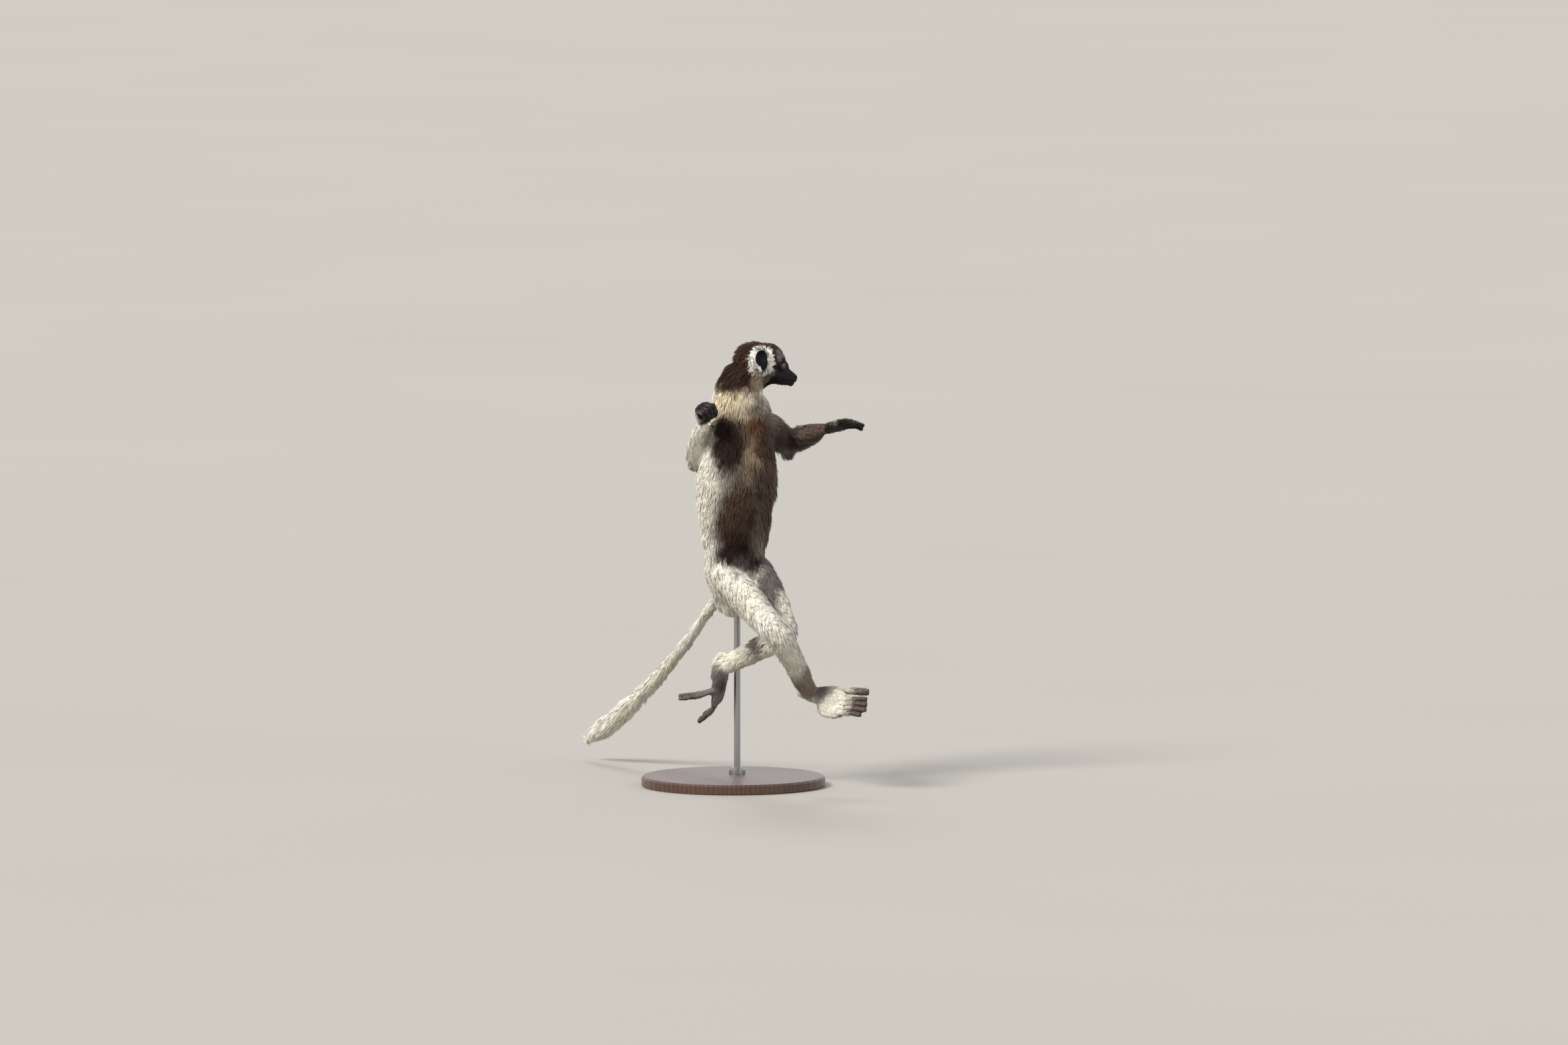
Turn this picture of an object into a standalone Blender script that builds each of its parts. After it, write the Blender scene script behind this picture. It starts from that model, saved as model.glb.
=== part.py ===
"""A Verreaux's sifaka in a sideways leap, at life size, held on a plain rod stand.

Run with blender --background --python part.py. Units are metres and +Z is up. The origin is on the
floor, at the centre of the stand's base, under the pelvis. The animal travels towards +X and turns
its belly towards -Y. A direction is a heading, turned from +X towards +Y, and a pitch above level,
both in degrees. Every outline reaches to the tips of the coat.
"""

import math
from collections import namedtuple

import bmesh
import bpy
from mathutils import Matrix, Vector

# Lengths of the skeleton
FEMUR = 0.158
TIBIA = 0.142
HUMERUS = 0.082
FOREARM = 0.097
PALM = 0.036
FINGERS = (0.022, 0.036, 0.036, 0.037, 0.031)  # thumb first
INSTEP = 0.066
TOES = (0.056, 0.041, 0.045, 0.048, 0.043)  # great toe first
HIP_SPREAD = 0.029  # half the distance between the hip joints
SHOULDER_SPREAD = 0.031

# Where the body is and which way its parts face
PELVIS = Vector((0.003, 0.0, 0.340))
SHOULDERS = Vector((0.018, 0.0, 0.571))
SKULL = Vector((0.042, 0.005, 0.666))
PELVIS_HEADING = -28
CHEST_HEADING = -60
HEAD_HEADING = 6

# Limb poses, as (heading, pitch)
THIGH_POSE = {"right": (-53, -31), "left": (-59, -38)}
SHANK_POSE = {"right": (60, -46), "left": (138, -24)}
UPPER_ARM_POSE = {"right": (136, -38), "left": (58, -23)}
FOREARM_POSE = {"right": (-84, 34.5), "left": (-54, 15)}
ELBOW_FRINGE = {"right": 0.001, "left": 0.010}  # how far the fur hangs below the elbow
HIP_ROLL = {"right": -0.004, "left": 0.004}  # the leap lifts the left hip
THIGH_FULLNESS = {"right": -0.005, "left": 0.018}  # how far the coat bulges to the knee's side

# Tail, along one quadratic curve
TAIL_START = Vector((-0.016, 0.020, 0.312))
TAIL_BEND = Vector((-0.112, 0.200, 0.138))
TAIL_END = Vector((-0.234, 0.375, 0.034))

# Head, in its own frame: forward, left and up from the middle of the braincase
EYE = Vector((0.0310, 0.0165, -0.0010))
EYE_RADIUS = 0.0075
EAR = Vector((-0.0015, 0.0350, 0.0095))
EAR_HEIGHT = 0.036
EAR_WIDTH = 0.025
EAR_WALL = 0.0022

# Stand
BASE_RADIUS = 0.145
BASE_THICKNESS = 0.016
BASE_EDGE = 0.003
ROD_RADIUS = 0.005
ROD_HEIGHT = 0.325
ROD_SEAT = Vector((0.006, 0.028, 0.0))
COLLAR_RADIUS = 0.013
COLLAR_HEIGHT = 0.010

GAP = 0.0003  # between pieces that meet
SIDES = ("right", "left")
SIDE_SIGN = {"right": -1.0, "left": 1.0}
UP = Vector((0.0, 0.0, 1.0))

Ring = namedtuple("Ring", "at wide deep across")
Ring.__doc__ = "One oval section: its centre, half sizes, and the direction in which it is wide."
Digit = namedtuple("Digit", "name root lengths radius bends splay lean")
Digit.__doc__ = "One finger or toe: where it grows, its bones, thickness, bends and the way it points."


def direction(heading, pitch=0.0):
    """A unit vector from a heading and a pitch in degrees."""
    turn, rise = math.radians(heading), math.radians(pitch)
    return Vector(
        (math.cos(turn) * math.cos(rise), math.sin(turn) * math.cos(rise), math.sin(rise))
    )


def frame_of(origin, forward, upward):
    """A matrix whose X is forward, whose Z leans to upward, and whose Y is what is left of them."""
    x_axis = forward.normalized()
    y_axis = upward.cross(x_axis).normalized()
    z_axis = x_axis.cross(y_axis)
    turned = Matrix((x_axis, y_axis, z_axis)).transposed().to_4x4()
    return Matrix.Translation(origin) @ turned


# ---- Making and joining shapes ----


def clear_scene():
    """Removes whatever the scene already holds."""
    for held in list(bpy.data.objects):
        bpy.data.objects.remove(held)


def finish_of(name, colour, roughness, metallic=0.0):
    """A plain finish in the part's colour."""
    finish = bpy.data.materials.new(name)
    finish.use_nodes = True
    shader = finish.node_tree.nodes["Principled BSDF"]
    shader.inputs["Base Color"].default_value = (*colour, 1.0)
    shader.inputs["Roughness"].default_value = roughness
    shader.inputs["Metallic"].default_value = metallic
    return finish


def new_object(name, shape):
    """An object from a bmesh, which is freed. Its faces point outwards."""
    bmesh.ops.recalc_face_normals(shape, faces=shape.faces)
    if shape.calc_volume(signed=True) < 0:
        bmesh.ops.reverse_faces(shape, faces=shape.faces)
    mesh = bpy.data.meshes.new(name)
    shape.to_mesh(mesh)
    shape.free()
    made = bpy.data.objects.new(name, mesh)
    bpy.context.scene.collection.objects.link(made)
    return made


def bake(piece):
    """Turns an object's modifiers into its mesh."""
    bpy.context.view_layer.update()
    graph = bpy.context.evaluated_depsgraph_get()
    mesh = bpy.data.meshes.new_from_object(piece.evaluated_get(graph))
    piece.modifiers.clear()
    piece.data = mesh
    return piece


def between(rings, steps):
    """The rings with more of them in each gap, on a smooth curve through all of them."""
    filled = []
    last = len(rings) - 1
    for index in range(last):
        before, start = rings[max(index - 1, 0)], rings[index]
        end, after = rings[index + 1], rings[min(index + 2, last)]
        for step in range(steps):
            t = step / steps
            weights = (
                (-t + 2 * t**2 - t**3) / 2,
                (2 - 5 * t**2 + 3 * t**3) / 2,
                (t + 4 * t**2 - 3 * t**3) / 2,
                (-(t**2) + t**3) / 2,
            )
            mixed = [
                sum((w * value for w, value in zip(weights[1:], values[1:])), weights[0] * values[0])
                for values in zip(before, start, end, after)
            ]
            filled.append(Ring(*mixed[:3], mixed[3].normalized()))
    filled.append(rings[last])
    return filled


def capped(rings):
    """The rings with a dome of two smaller ones at each end."""
    made = list(rings)
    for end, inner in ((0, 1), (-1, -2)):
        ring = rings[end]
        outward = (ring.at - rings[inner].at).normalized()
        reach = min(ring.wide, ring.deep)
        dome = [
            Ring(
                ring.at + outward * reach * math.sin(lift),
                ring.wide * math.cos(lift),
                ring.deep * math.cos(lift),
                ring.across,
            )
            for lift in (math.radians(40), math.radians(72))
        ]
        made = dome[::-1] + made if end == 0 else made + dome
    return made


def add_tube(shape, rings, sides=16):
    """Adds one closed tube through the rings to a bmesh."""
    loops = []
    for index, ring in enumerate(rings):
        along = rings[min(index + 1, len(rings) - 1)].at - rings[max(index - 1, 0)].at
        along.normalize()
        across = (ring.across - along * ring.across.dot(along)).normalized()
        upright = along.cross(across)
        loops.append(
            [
                shape.verts.new(
                    ring.at
                    + across * ring.wide * math.cos(turn)
                    + upright * ring.deep * math.sin(turn)
                )
                for turn in (math.tau * side / sides for side in range(sides))
            ]
        )
    for lower, upper in zip(loops, loops[1:]):
        for side in range(sides):
            following = (side + 1) % sides
            shape.faces.new((lower[side], lower[following], upper[following], upper[side]))
    shape.faces.new(reversed(loops[0]))
    shape.faces.new(loops[-1])


def add_egg(shape, frame, centre, radii, detail=3):
    """Adds one closed ellipsoid, placed in a frame, to a bmesh."""
    bmesh.ops.create_icosphere(
        shape,
        subdivisions=detail,
        radius=1.0,
        matrix=frame @ Matrix.Translation(centre) @ Matrix.Diagonal((*radii, 1.0)),
    )


def fused(name, shape, voxel, rounds, triangles):
    """One smooth closed body from overlapping shells, with about the given number of triangles."""
    body = new_object(name, shape)
    remesh = body.modifiers.new("Fuse", "REMESH")
    remesh.mode = "VOXEL"
    remesh.voxel_size = voxel
    soften = body.modifiers.new("Soften", "SMOOTH")
    soften.factor = 0.5
    soften.iterations = rounds
    bake(body)
    thin = body.modifiers.new("Thin", "DECIMATE")
    thin.ratio = triangles / (2 * len(body.data.polygons))
    bake(body)
    return keep_largest(body)


def keep_largest(piece):
    """Drops any crumb that a cut left beside the main body."""
    shape = bmesh.new()
    shape.from_mesh(piece.data)
    islands, seen = [], set()
    for start in shape.verts:
        if start in seen:
            continue
        island, waiting = [], [start]
        seen.add(start)
        while waiting:
            point = waiting.pop()
            island.append(point)
            for edge in point.link_edges:
                other = edge.other_vert(point)
                if other not in seen:
                    seen.add(other)
                    waiting.append(other)
        islands.append(island)
    islands.sort(key=len)
    crumbs = [point for island in islands[:-1] for point in island]
    bmesh.ops.delete(shape, geom=crumbs, context="VERTS")
    shape.to_mesh(piece.data)
    shape.free()
    return piece


def join(piece, *others):
    """Makes one body of pieces that overlap."""
    for other in others:
        grow = piece.modifiers.new("Join", "BOOLEAN")
        grow.operation = "UNION"
        grow.solver = "EXACT"
        grow.object = other
        bake(piece)
        bpy.data.objects.remove(other)
    return keep_largest(piece)


def carve(piece, *neighbours):
    """Cuts away from a piece what its neighbours fill, and leaves the usual gap."""
    for neighbour in neighbours:
        cutter = neighbour.copy()
        cutter.data = neighbour.data.copy()
        bpy.context.scene.collection.objects.link(cutter)
        swell = cutter.modifiers.new("Swell", "DISPLACE")
        swell.strength = GAP * 1.3
        swell.mid_level = 0.0
        bake(cutter)
        cut = piece.modifiers.new("Carve", "BOOLEAN")
        cut.operation = "DIFFERENCE"
        cut.solver = "EXACT"
        cut.use_self = True
        cut.object = cutter
        bake(piece)
        bpy.data.objects.remove(cutter)
    return keep_largest(piece)


def one_side(source, name, point, normal):
    """A closed copy of what lies behind a plane, with its normal pointing away from what stays."""
    shape = bmesh.new()
    shape.from_mesh(source.data)
    normal = normal.normalized()
    cut = bmesh.ops.bisect_plane(
        shape,
        geom=shape.verts[:] + shape.edges[:] + shape.faces[:],
        dist=1e-6,
        plane_co=point - normal * GAP / 2,
        plane_no=normal,
        clear_outer=True,
    )
    rim = [edge for edge in cut["geom_cut"] if isinstance(edge, bmesh.types.BMEdge)]
    bmesh.ops.holes_fill(shape, edges=rim, sides=0)
    return keep_largest(new_object(name, shape))


def part_along(chain, names, cuts):
    """Cuts a long body into named lengths, in order, at planes given as (point, normal)."""
    pieces = []
    rest = chain
    for name, (point, normal) in zip(names, cuts):
        pieces.append(one_side(rest, name, point, normal))
        further = one_side(rest, names[-1], point, -normal)
        bpy.data.objects.remove(rest)
        rest = further
    rest.name = names[-1]
    return pieces + [rest]


# ---- The skeleton ----


def skeleton():
    """The joints of the posed animal, by name."""
    joints = {}
    for side in SIDES:
        sign = SIDE_SIGN[side]
        hip = PELVIS + direction(PELVIS_HEADING + 90) * HIP_SPREAD * sign + UP * HIP_ROLL[side]
        knee = hip + direction(*THIGH_POSE[side]) * FEMUR
        shoulder = SHOULDERS + direction(CHEST_HEADING + 90) * SHOULDER_SPREAD * sign
        elbow = shoulder + direction(*UPPER_ARM_POSE[side]) * HUMERUS
        joints[side] = {
            "hip": hip,
            "knee": knee,
            "ankle": knee + direction(*SHANK_POSE[side]) * TIBIA,
            "shoulder": shoulder,
            "elbow": elbow,
            "wrist": elbow + direction(*FOREARM_POSE[side]) * FOREARM,
        }
    return joints


# ---- Trunk, neck and tail ----


def make_trunk():
    """Trunk and neck as one smooth body. The spine twists from the pelvis up to the shoulders."""
    stations = (  # centre, half width, half depth, heading of the belly
        ((0.000, 0.004, 0.300), 0.034, 0.036, -28),
        ((0.002, 0.002, 0.331), 0.053, 0.047, -30),
        ((0.002, 0.000, 0.380), 0.055, 0.049, -40),
        ((0.002, 0.000, 0.428), 0.062, 0.056, -50),
        ((0.004, 0.001, 0.472), 0.067, 0.059, -56),
        ((0.009, 0.002, 0.524), 0.062, 0.054, -60),
        ((0.015, 0.002, 0.572), 0.051, 0.045, -60),
        ((0.011, 0.002, 0.608), 0.047, 0.043, -60),
        ((0.013, 0.003, 0.632), 0.041, 0.041, -40),
        ((0.026, 0.004, 0.654), 0.033, 0.033, -10),
    )
    shape = bmesh.new()
    rings = [
        Ring(Vector(at), wide, deep, direction(heading + 90))
        for at, wide, deep, heading in stations
    ]
    add_tube(shape, capped(between(rings, 4)), 28)
    back = direction(PELVIS_HEADING + 180)
    for side in SIDES:
        outward = direction(PELVIS_HEADING + 90) * SIDE_SIGN[side]
        rump = PELVIS + outward * 0.022 + back * 0.004 - UP * 0.012
        add_egg(shape, frame_of(rump, back, UP), (0, 0, 0), (0.032, 0.029, 0.035))
    return fused("trunk", shape, 0.0045, 7, 780)


def make_tail():
    """The tail, which thickens to a brush near its tip."""
    steps = 14
    rings = []
    for step in range(steps + 1):
        t = step / steps
        at = (
            TAIL_START * (1 - t) ** 2
            + TAIL_BEND * 2 * t * (1 - t)
            + TAIL_END * t**2
        )
        swelling = 0.0100 + 0.0098 * min(t / 0.85, 1.0) ** 2
        closing = math.sqrt(max(1.0 - max((t - 0.84) / 0.17, 0.0) ** 2, 0.0))
        radius = swelling * closing
        rings.append(Ring(at, radius, radius, UP))
    shape = bmesh.new()
    add_tube(shape, capped(rings), 14)
    return fused("tail", shape, 0.0040, 2, 360)


# ---- Limbs ----


def make_arm(side, joint):
    """Upper arm and forearm, with long fur that hangs behind the elbow."""
    upper = (joint["elbow"] - joint["shoulder"]).normalized()
    lower = (joint["wrist"] - joint["elbow"]).normalized()
    across = upper.cross(lower).normalized()
    point = (upper - lower).normalized()
    rings = [
        Ring(joint["shoulder"] - upper * 0.006, 0.028, 0.030, across),
        Ring(joint["shoulder"].lerp(joint["elbow"], 0.5), 0.025, 0.027, across),
        Ring(joint["elbow"] - point * 0.002, 0.020, 0.024, across),
        Ring(joint["elbow"].lerp(joint["wrist"], 0.35), 0.019, 0.0215, across),
        Ring(joint["elbow"].lerp(joint["wrist"], 0.70), 0.0165, 0.0185, across),
        Ring(joint["wrist"] + lower * 0.002, 0.0110, 0.0100, across),
    ]
    shape = bmesh.new()
    add_tube(shape, capped(between(rings, 3)), 16)
    tuft = joint["elbow"] + point * 0.010 - UP * ELBOW_FRINGE[side]
    add_egg(shape, frame_of(tuft, point, across), (0, 0, 0), (0.018, 0.015, 0.018), 2)
    return fused(f"arm_{side}", shape, 0.0035, 4, 276)


def make_leg(side, joint):
    """Thigh and shank as one smooth body."""
    upper = (joint["knee"] - joint["hip"]).normalized()
    lower = (joint["ankle"] - joint["knee"]).normalized()
    across = upper.cross(lower).normalized()
    front = (upper - lower).normalized()
    bulge = front * THIGH_FULLNESS[side]
    rings = [
        Ring(joint["hip"] + bulge - upper * 0.004, 0.031, 0.037, across),
        Ring(joint["hip"].lerp(joint["knee"], 0.35) + bulge, 0.028, 0.036, across),
        Ring(joint["hip"].lerp(joint["knee"], 0.72) + bulge * 0.6, 0.024, 0.030, across),
        Ring(joint["knee"] - front * 0.003, 0.0215, 0.024, across),
        Ring(joint["knee"].lerp(joint["ankle"], 0.30), 0.0200, 0.0220, across),
        Ring(joint["knee"].lerp(joint["ankle"], 0.68), 0.0180, 0.0195, across),
        Ring(joint["ankle"] - lower * 0.008, 0.0155, 0.0165, across),
    ]
    shape = bmesh.new()
    add_tube(shape, capped(between(rings, 4)), 18)
    return fused(f"leg_{side}", shape, 0.004, 5, 336)


# ---- Hands and feet ----


def make_digit(name, frame, digit):
    """A finger or toe: each bone turns a little further towards the palm, and the tip has a pad."""
    spread = Matrix.Rotation(math.radians(digit.splay), 3, "Z")
    tilt = Matrix.Rotation(math.radians(-digit.lean), 3, "Y")
    forward = spread @ tilt @ Vector((1, 0, 0))
    hinge = spread @ Vector((0, 1, 0))
    at = Vector(digit.root)
    points, bulges = [at.copy()], [1.05]
    for length, bend in zip(digit.lengths, digit.bends):
        forward = Matrix.Rotation(math.radians(bend), 3, hinge) @ forward
        points.append(at + forward * length)
        bulges.append(1.03)
        at = at + forward * length
    points.insert(-1, points[-1] - forward * digit.lengths[-1] * 0.45)
    bulges[-1:] = [1.22, 0.98]
    across = frame.to_3x3() @ hinge
    rings = [
        Ring(frame @ point, digit.radius * bulge, digit.radius * bulge * 0.92, across)
        for point, bulge in zip(points, bulges)
    ]
    shape = bmesh.new()
    add_tube(shape, capped(rings)[2:-1], 6)
    return new_object(name, shape)


def hand_digits(curl, drops, thumb_bends, thumb_splay, thumb_lean):
    """Four fingers and a thumb, in a frame that runs along the palm with the thumb on its left."""
    digits = [
        Digit(
            "thumb",
            (PALM * 0.42, 0.0115, -0.002),
            (FINGERS[0] * 0.55, FINGERS[0] * 0.45),
            0.0042,
            thumb_bends,
            thumb_splay,
            thumb_lean,
        )
    ]
    for index, length in enumerate(FINGERS[1:]):
        digits.append(
            Digit(
                f"finger_{index + 2}",
                (PALM * (0.98 - 0.035 * abs(index - 1.4)), 0.0114 - 0.0077 * index, 0.0),
                (length * 0.44, length * 0.31, length * 0.25),
                0.0040,
                (curl[0] + drops[index], *curl[1:]),
                5 - 3.6 * index,
                0,
            )
        )
    return digits


def foot_digits(toe_bends, toe_splay, great_bends, great_splay, great_lean):
    """Four toes held together and a great toe that stands off like a thumb, on the foot's left."""
    digits = [
        Digit(
            "great_toe",
            (INSTEP * 0.58, 0.0120, -0.002),
            (TOES[0] * 0.56, TOES[0] * 0.44),
            0.0063,
            great_bends,
            great_splay,
            great_lean,
        )
    ]
    for index, length in enumerate(TOES[1:]):
        digits.append(
            Digit(
                f"toe_{index + 2}",
                (INSTEP * (0.99 - 0.03 * index), 0.0016 - 0.0072 * index, 0.0),
                (length * 0.42, length * 0.32, length * 0.26),
                0.0040,
                toe_bends,
                toe_splay - 2.4 * index,
                0,
            )
        )
    return digits


def make_palm(side, frame):
    """The flat of a hand, with a cushion at the base of the thumb."""
    shape = bmesh.new()
    left = frame.to_3x3() @ Vector((0, 1, 0))
    spans = (
        (-0.002, 0.0085, 0.0080),
        (0.30, 0.0120, 0.0078),
        (0.70, 0.0150, 0.0068),
        (0.97, 0.0150, 0.0052),
    )
    rings = [
        Ring(frame @ Vector((PALM * share, 0.0, -0.0006)), wide, deep, left)
        for share, wide, deep in spans
    ]
    add_tube(shape, capped(between(rings, 2)), 14)
    thumb = 0.0085 * -SIDE_SIGN[side]
    add_egg(shape, frame, (PALM * 0.38, thumb, -0.0030), (0.0110, 0.0062, 0.0056), 2)
    return fused(f"hand_{side}", shape, 0.0022, 2, 150)


def make_instep(side, frame):
    """Heel, ankle and instep of a foot, with the great toe's root and the fringe opposite it."""
    shape = bmesh.new()
    left = frame.to_3x3() @ Vector((0, 1, 0))
    inner = -SIDE_SIGN[side]
    spans = (
        (-0.22, 0.0110, 0.0125),
        (0.05, 0.0140, 0.0140),
        (0.45, 0.0160, 0.0105),
        (0.80, 0.0165, 0.0080),
        (0.97, 0.0155, 0.0058),
    )
    rings = [
        Ring(frame @ Vector((INSTEP * share, 0.0, -0.001)), wide, deep, left)
        for share, wide, deep in spans
    ]
    add_tube(shape, capped(between(rings, 2)), 14)
    add_egg(shape, frame, (INSTEP * 0.48, 0.0100 * inner, -0.003), (0.0170, 0.0080, 0.0072), 2)
    add_egg(shape, frame, (INSTEP * 0.66, -0.0170 * inner, -0.002), (0.0290, 0.0150, 0.0085), 2)
    return fused(f"foot_{side}", shape, 0.0026, 3, 184)


def extremity_frames(joints):
    """Frames of the hands and feet. X runs to the digits, Z is the back, and Y is left of X."""
    wrists = {side: joints[side]["wrist"] for side in SIDES}
    ankles = {side: joints[side]["ankle"] for side in SIDES}
    return {
        "hand_right": frame_of(wrists["right"], direction(-100, 62), Vector((-0.75, 0.50, 0.55))),
        "hand_left": frame_of(wrists["left"], direction(-24, 15), Vector((-0.10, 0.60, 0.80))),
        "foot_right": frame_of(ankles["right"], direction(-38, -6), Vector((-0.50, -0.80, 0.30))),
        "foot_left": frame_of(ankles["left"], direction(125, -72), Vector((0.86, -0.20, -0.45))),
    }


def mirrored(digits):
    """The digits of a limb whose thumb or great toe is on the other side."""
    return [
        digit._replace(root=(digit.root[0], -digit.root[1], digit.root[2]), splay=-digit.splay)
        for digit in digits
    ]


def make_extremities(joints, limbs):
    """Hands and feet with their digits, each cut to meet the limb that carries it."""
    frames = extremity_frames(joints)
    fist = hand_digits((80, 70, 50), (0, 4, 10, 16), (10, 15), -50, -45)
    reaching = hand_digits((4, 13, 20), (6, 2, -2, 0), (4, 8), 14, -20)
    landing = foot_digits((2, 9, 12), 11, (2, 8), 14, -28)
    trailing = foot_digits((22, 13, 8), 2, (8, 10), 56, -44)
    pieces = []
    for name, digits, make_root in (
        ("hand_right", fist, make_palm),
        ("hand_left", mirrored(reaching), make_palm),
        ("foot_right", landing, make_instep),
        ("foot_left", mirrored(trailing), make_instep),
    ):
        kind, side = name.split("_")
        grown = [make_digit(digit.name, frames[name], digit) for digit in digits]
        whole = join(make_root(side, frames[name]), *grown)
        pieces.append(carve(whole, limbs[side]["arm" if kind == "hand" else "leg"]))
    return pieces


# ---- Head ----


def head_frame():
    """The head's frame: forward, left and up from the middle of the braincase."""
    return frame_of(SKULL, direction(HEAD_HEADING), UP)


def make_head(frame):
    """Braincase, brow, cheeks and a short muzzle under one coat."""
    shape = bmesh.new()
    for centre, radii in (
        ((-0.005, 0, 0.004), (0.036, 0.0345, 0.0340)),  # braincase
        ((0.012, 0, 0.006), (0.0290, 0.0305, 0.0305)),  # brow
        ((0.006, 0, -0.017), (0.0310, 0.0320, 0.0225)),  # cheeks and jaw
        ((0.026, 0, -0.018), (0.0230, 0.0215, 0.0190)),  # root of the muzzle
        ((0.0340, 0, -0.0050), (0.0125, 0.0120, 0.0140)),  # bridge
        ((0.0400, 0, -0.0225), (0.0170, 0.0140, 0.0165)),  # muzzle
        ((0.0500, 0, -0.0215), (0.0100, 0.0090, 0.0095)),  # nose
        ((0.0405, 0, -0.0312), (0.0115, 0.0100, 0.0075)),  # chin
    ):
        add_egg(shape, frame, centre, radii)
    for sign in SIDE_SIGN.values():
        add_egg(shape, frame, (0.0300, 0.0145 * sign, 0.0085), (0.0105, 0.0105, 0.0075), 2)
        add_egg(shape, frame, (-0.002, 0.0200 * sign, 0.002), (0.0230, 0.0175, 0.0250))
    return fused("head", shape, 0.0024, 3, 826)


def make_eye(side, frame):
    """An eyeball, seated in the head and looking forward and a little out."""
    shape = bmesh.new()
    centre = EYE.copy()
    centre.y *= SIDE_SIGN[side]
    bmesh.ops.create_uvsphere(
        shape,
        u_segments=10,
        v_segments=7,
        radius=EYE_RADIUS,
        matrix=frame @ Matrix.Translation(centre),
    )
    return new_object(f"eye_{side}", shape)


def make_ear(side, frame):
    """The round shell of an ear, cupped to the side and a little forward."""
    sign = SIDE_SIGN[side]
    at = EAR.copy()
    at.y *= sign
    facing = Vector((0.42, 0.90 * sign, 0.05))
    seat = frame @ frame_of(at, facing, Vector((-0.18, 0, 1.0)))
    rings, around = 3, 12
    shape = bmesh.new()
    middle = shape.verts.new(seat @ Vector((-0.0075, 0.0, 0.0)))
    loops = []
    for ring in range(1, rings + 1):
        share = ring / rings
        depth = -0.0075 * math.cos(math.pi / 2 * share) ** 0.8 + 0.002 * share**4
        loops.append(
            [
                shape.verts.new(
                    seat
                    @ Vector(
                        (
                            depth,
                            EAR_WIDTH / 2 * share * math.cos(turn),
                            EAR_HEIGHT / 2 * share * math.sin(turn),
                        )
                    )
                )
                for turn in (math.tau * step / around for step in range(around))
            ]
        )
    for step in range(around):
        following = (step + 1) % around
        shape.faces.new((middle, loops[0][step], loops[0][following]))
        for inner, outer in zip(loops, loops[1:]):
            shape.faces.new((inner[step], outer[step], outer[following], inner[following]))
    ear = new_object(f"ear_{side}", shape)
    wall = ear.modifiers.new("Wall", "SOLIDIFY")
    wall.thickness = EAR_WALL
    wall.offset = 0.0
    return bake(ear)


# ---- Stand ----


def add_turned(name, profile, at, segments=44):
    """A solid turned about a vertical axis, from (radius, height) points that start on the axis."""
    shape = bmesh.new()
    points = [shape.verts.new(at + Vector((radius, 0, height))) for radius, height in profile]
    edges = [shape.edges.new(pair) for pair in zip(points, points[1:])]
    bmesh.ops.spin(
        shape,
        geom=points + edges,
        cent=at,
        axis=UP,
        angle=math.tau,
        steps=segments,
    )
    bmesh.ops.remove_doubles(shape, verts=shape.verts, dist=1e-6)
    return new_object(name, shape)


def make_stand():
    """A round base, a steel rod up into the pelvis, and the collar at the rod's foot."""
    base = add_turned(
        "stand_base",
        (
            (0.0, 0.0),
            (BASE_RADIUS - BASE_EDGE / 2, 0.0),
            (BASE_RADIUS, BASE_EDGE / 2),
            (BASE_RADIUS, BASE_THICKNESS - BASE_EDGE),
            (BASE_RADIUS - BASE_EDGE, BASE_THICKNESS),
            (0.0, BASE_THICKNESS),
        ),
        Vector((0, 0, 0)),
    )
    foot = BASE_THICKNESS + GAP
    rod = add_turned(
        "stand_rod",
        ((0.0, foot), (ROD_RADIUS, foot), (ROD_RADIUS, ROD_HEIGHT), (0.0, ROD_HEIGHT)),
        ROD_SEAT,
        16,
    )
    collar = add_turned(
        "stand_collar",
        (
            (0.0, foot),
            (COLLAR_RADIUS, foot),
            (COLLAR_RADIUS, foot + COLLAR_HEIGHT * 0.6),
            (COLLAR_RADIUS * 0.7, foot + COLLAR_HEIGHT),
            (0.0, foot + COLLAR_HEIGHT),
        ),
        ROD_SEAT,
        20,
    )
    carve(collar, rod)
    return base, rod, collar


# ---- The whole animal ----


def part_limb(limb, names, start, middle, end):
    """Cuts a limb in two across its bend."""
    normal = (middle - start).normalized() + (end - middle).normalized()
    return part_along(limb, names, [(middle, normal)])


def tail_cuts():
    """Planes across the tail at one and two thirds of its length."""
    cuts = []
    for t in (1 / 3, 2 / 3):
        at = TAIL_START * (1 - t) ** 2 + TAIL_BEND * 2 * t * (1 - t) + TAIL_END * t**2
        along = (TAIL_BEND - TAIL_START) * (1 - t) + (TAIL_END - TAIL_BEND) * t
        cuts.append((at, along))
    return cuts


def dress(pieces):
    """Gives each piece its finish, from how its name starts, and shades it smooth."""
    coat = finish_of("white_coat", (0.78, 0.73, 0.63), 0.9)
    skin = finish_of("dark_skin", (0.035, 0.030, 0.030), 0.55)
    crown = finish_of("brown_crown", (0.10, 0.055, 0.035), 0.9)
    amber = finish_of("amber_eye", (0.62, 0.33, 0.05), 0.1)
    base_finish = finish_of("dark_wood", (0.055, 0.035, 0.025), 0.45)
    steel = finish_of("steel", (0.55, 0.55, 0.56), 0.35, 1.0)
    by_start = (
        ("stand_base", base_finish),
        ("stand", steel),
        ("eye", amber),
        ("head", crown),
        ("ear", skin),
        ("hand", skin),
    )
    for piece in pieces:
        finish = next((made for start, made in by_start if piece.name.startswith(start)), coat)
        piece.data.materials.clear()
        piece.data.materials.append(finish)
        piece.data.shade_smooth()
        piece.data.set_sharp_from_angle(angle=math.radians(50))


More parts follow.
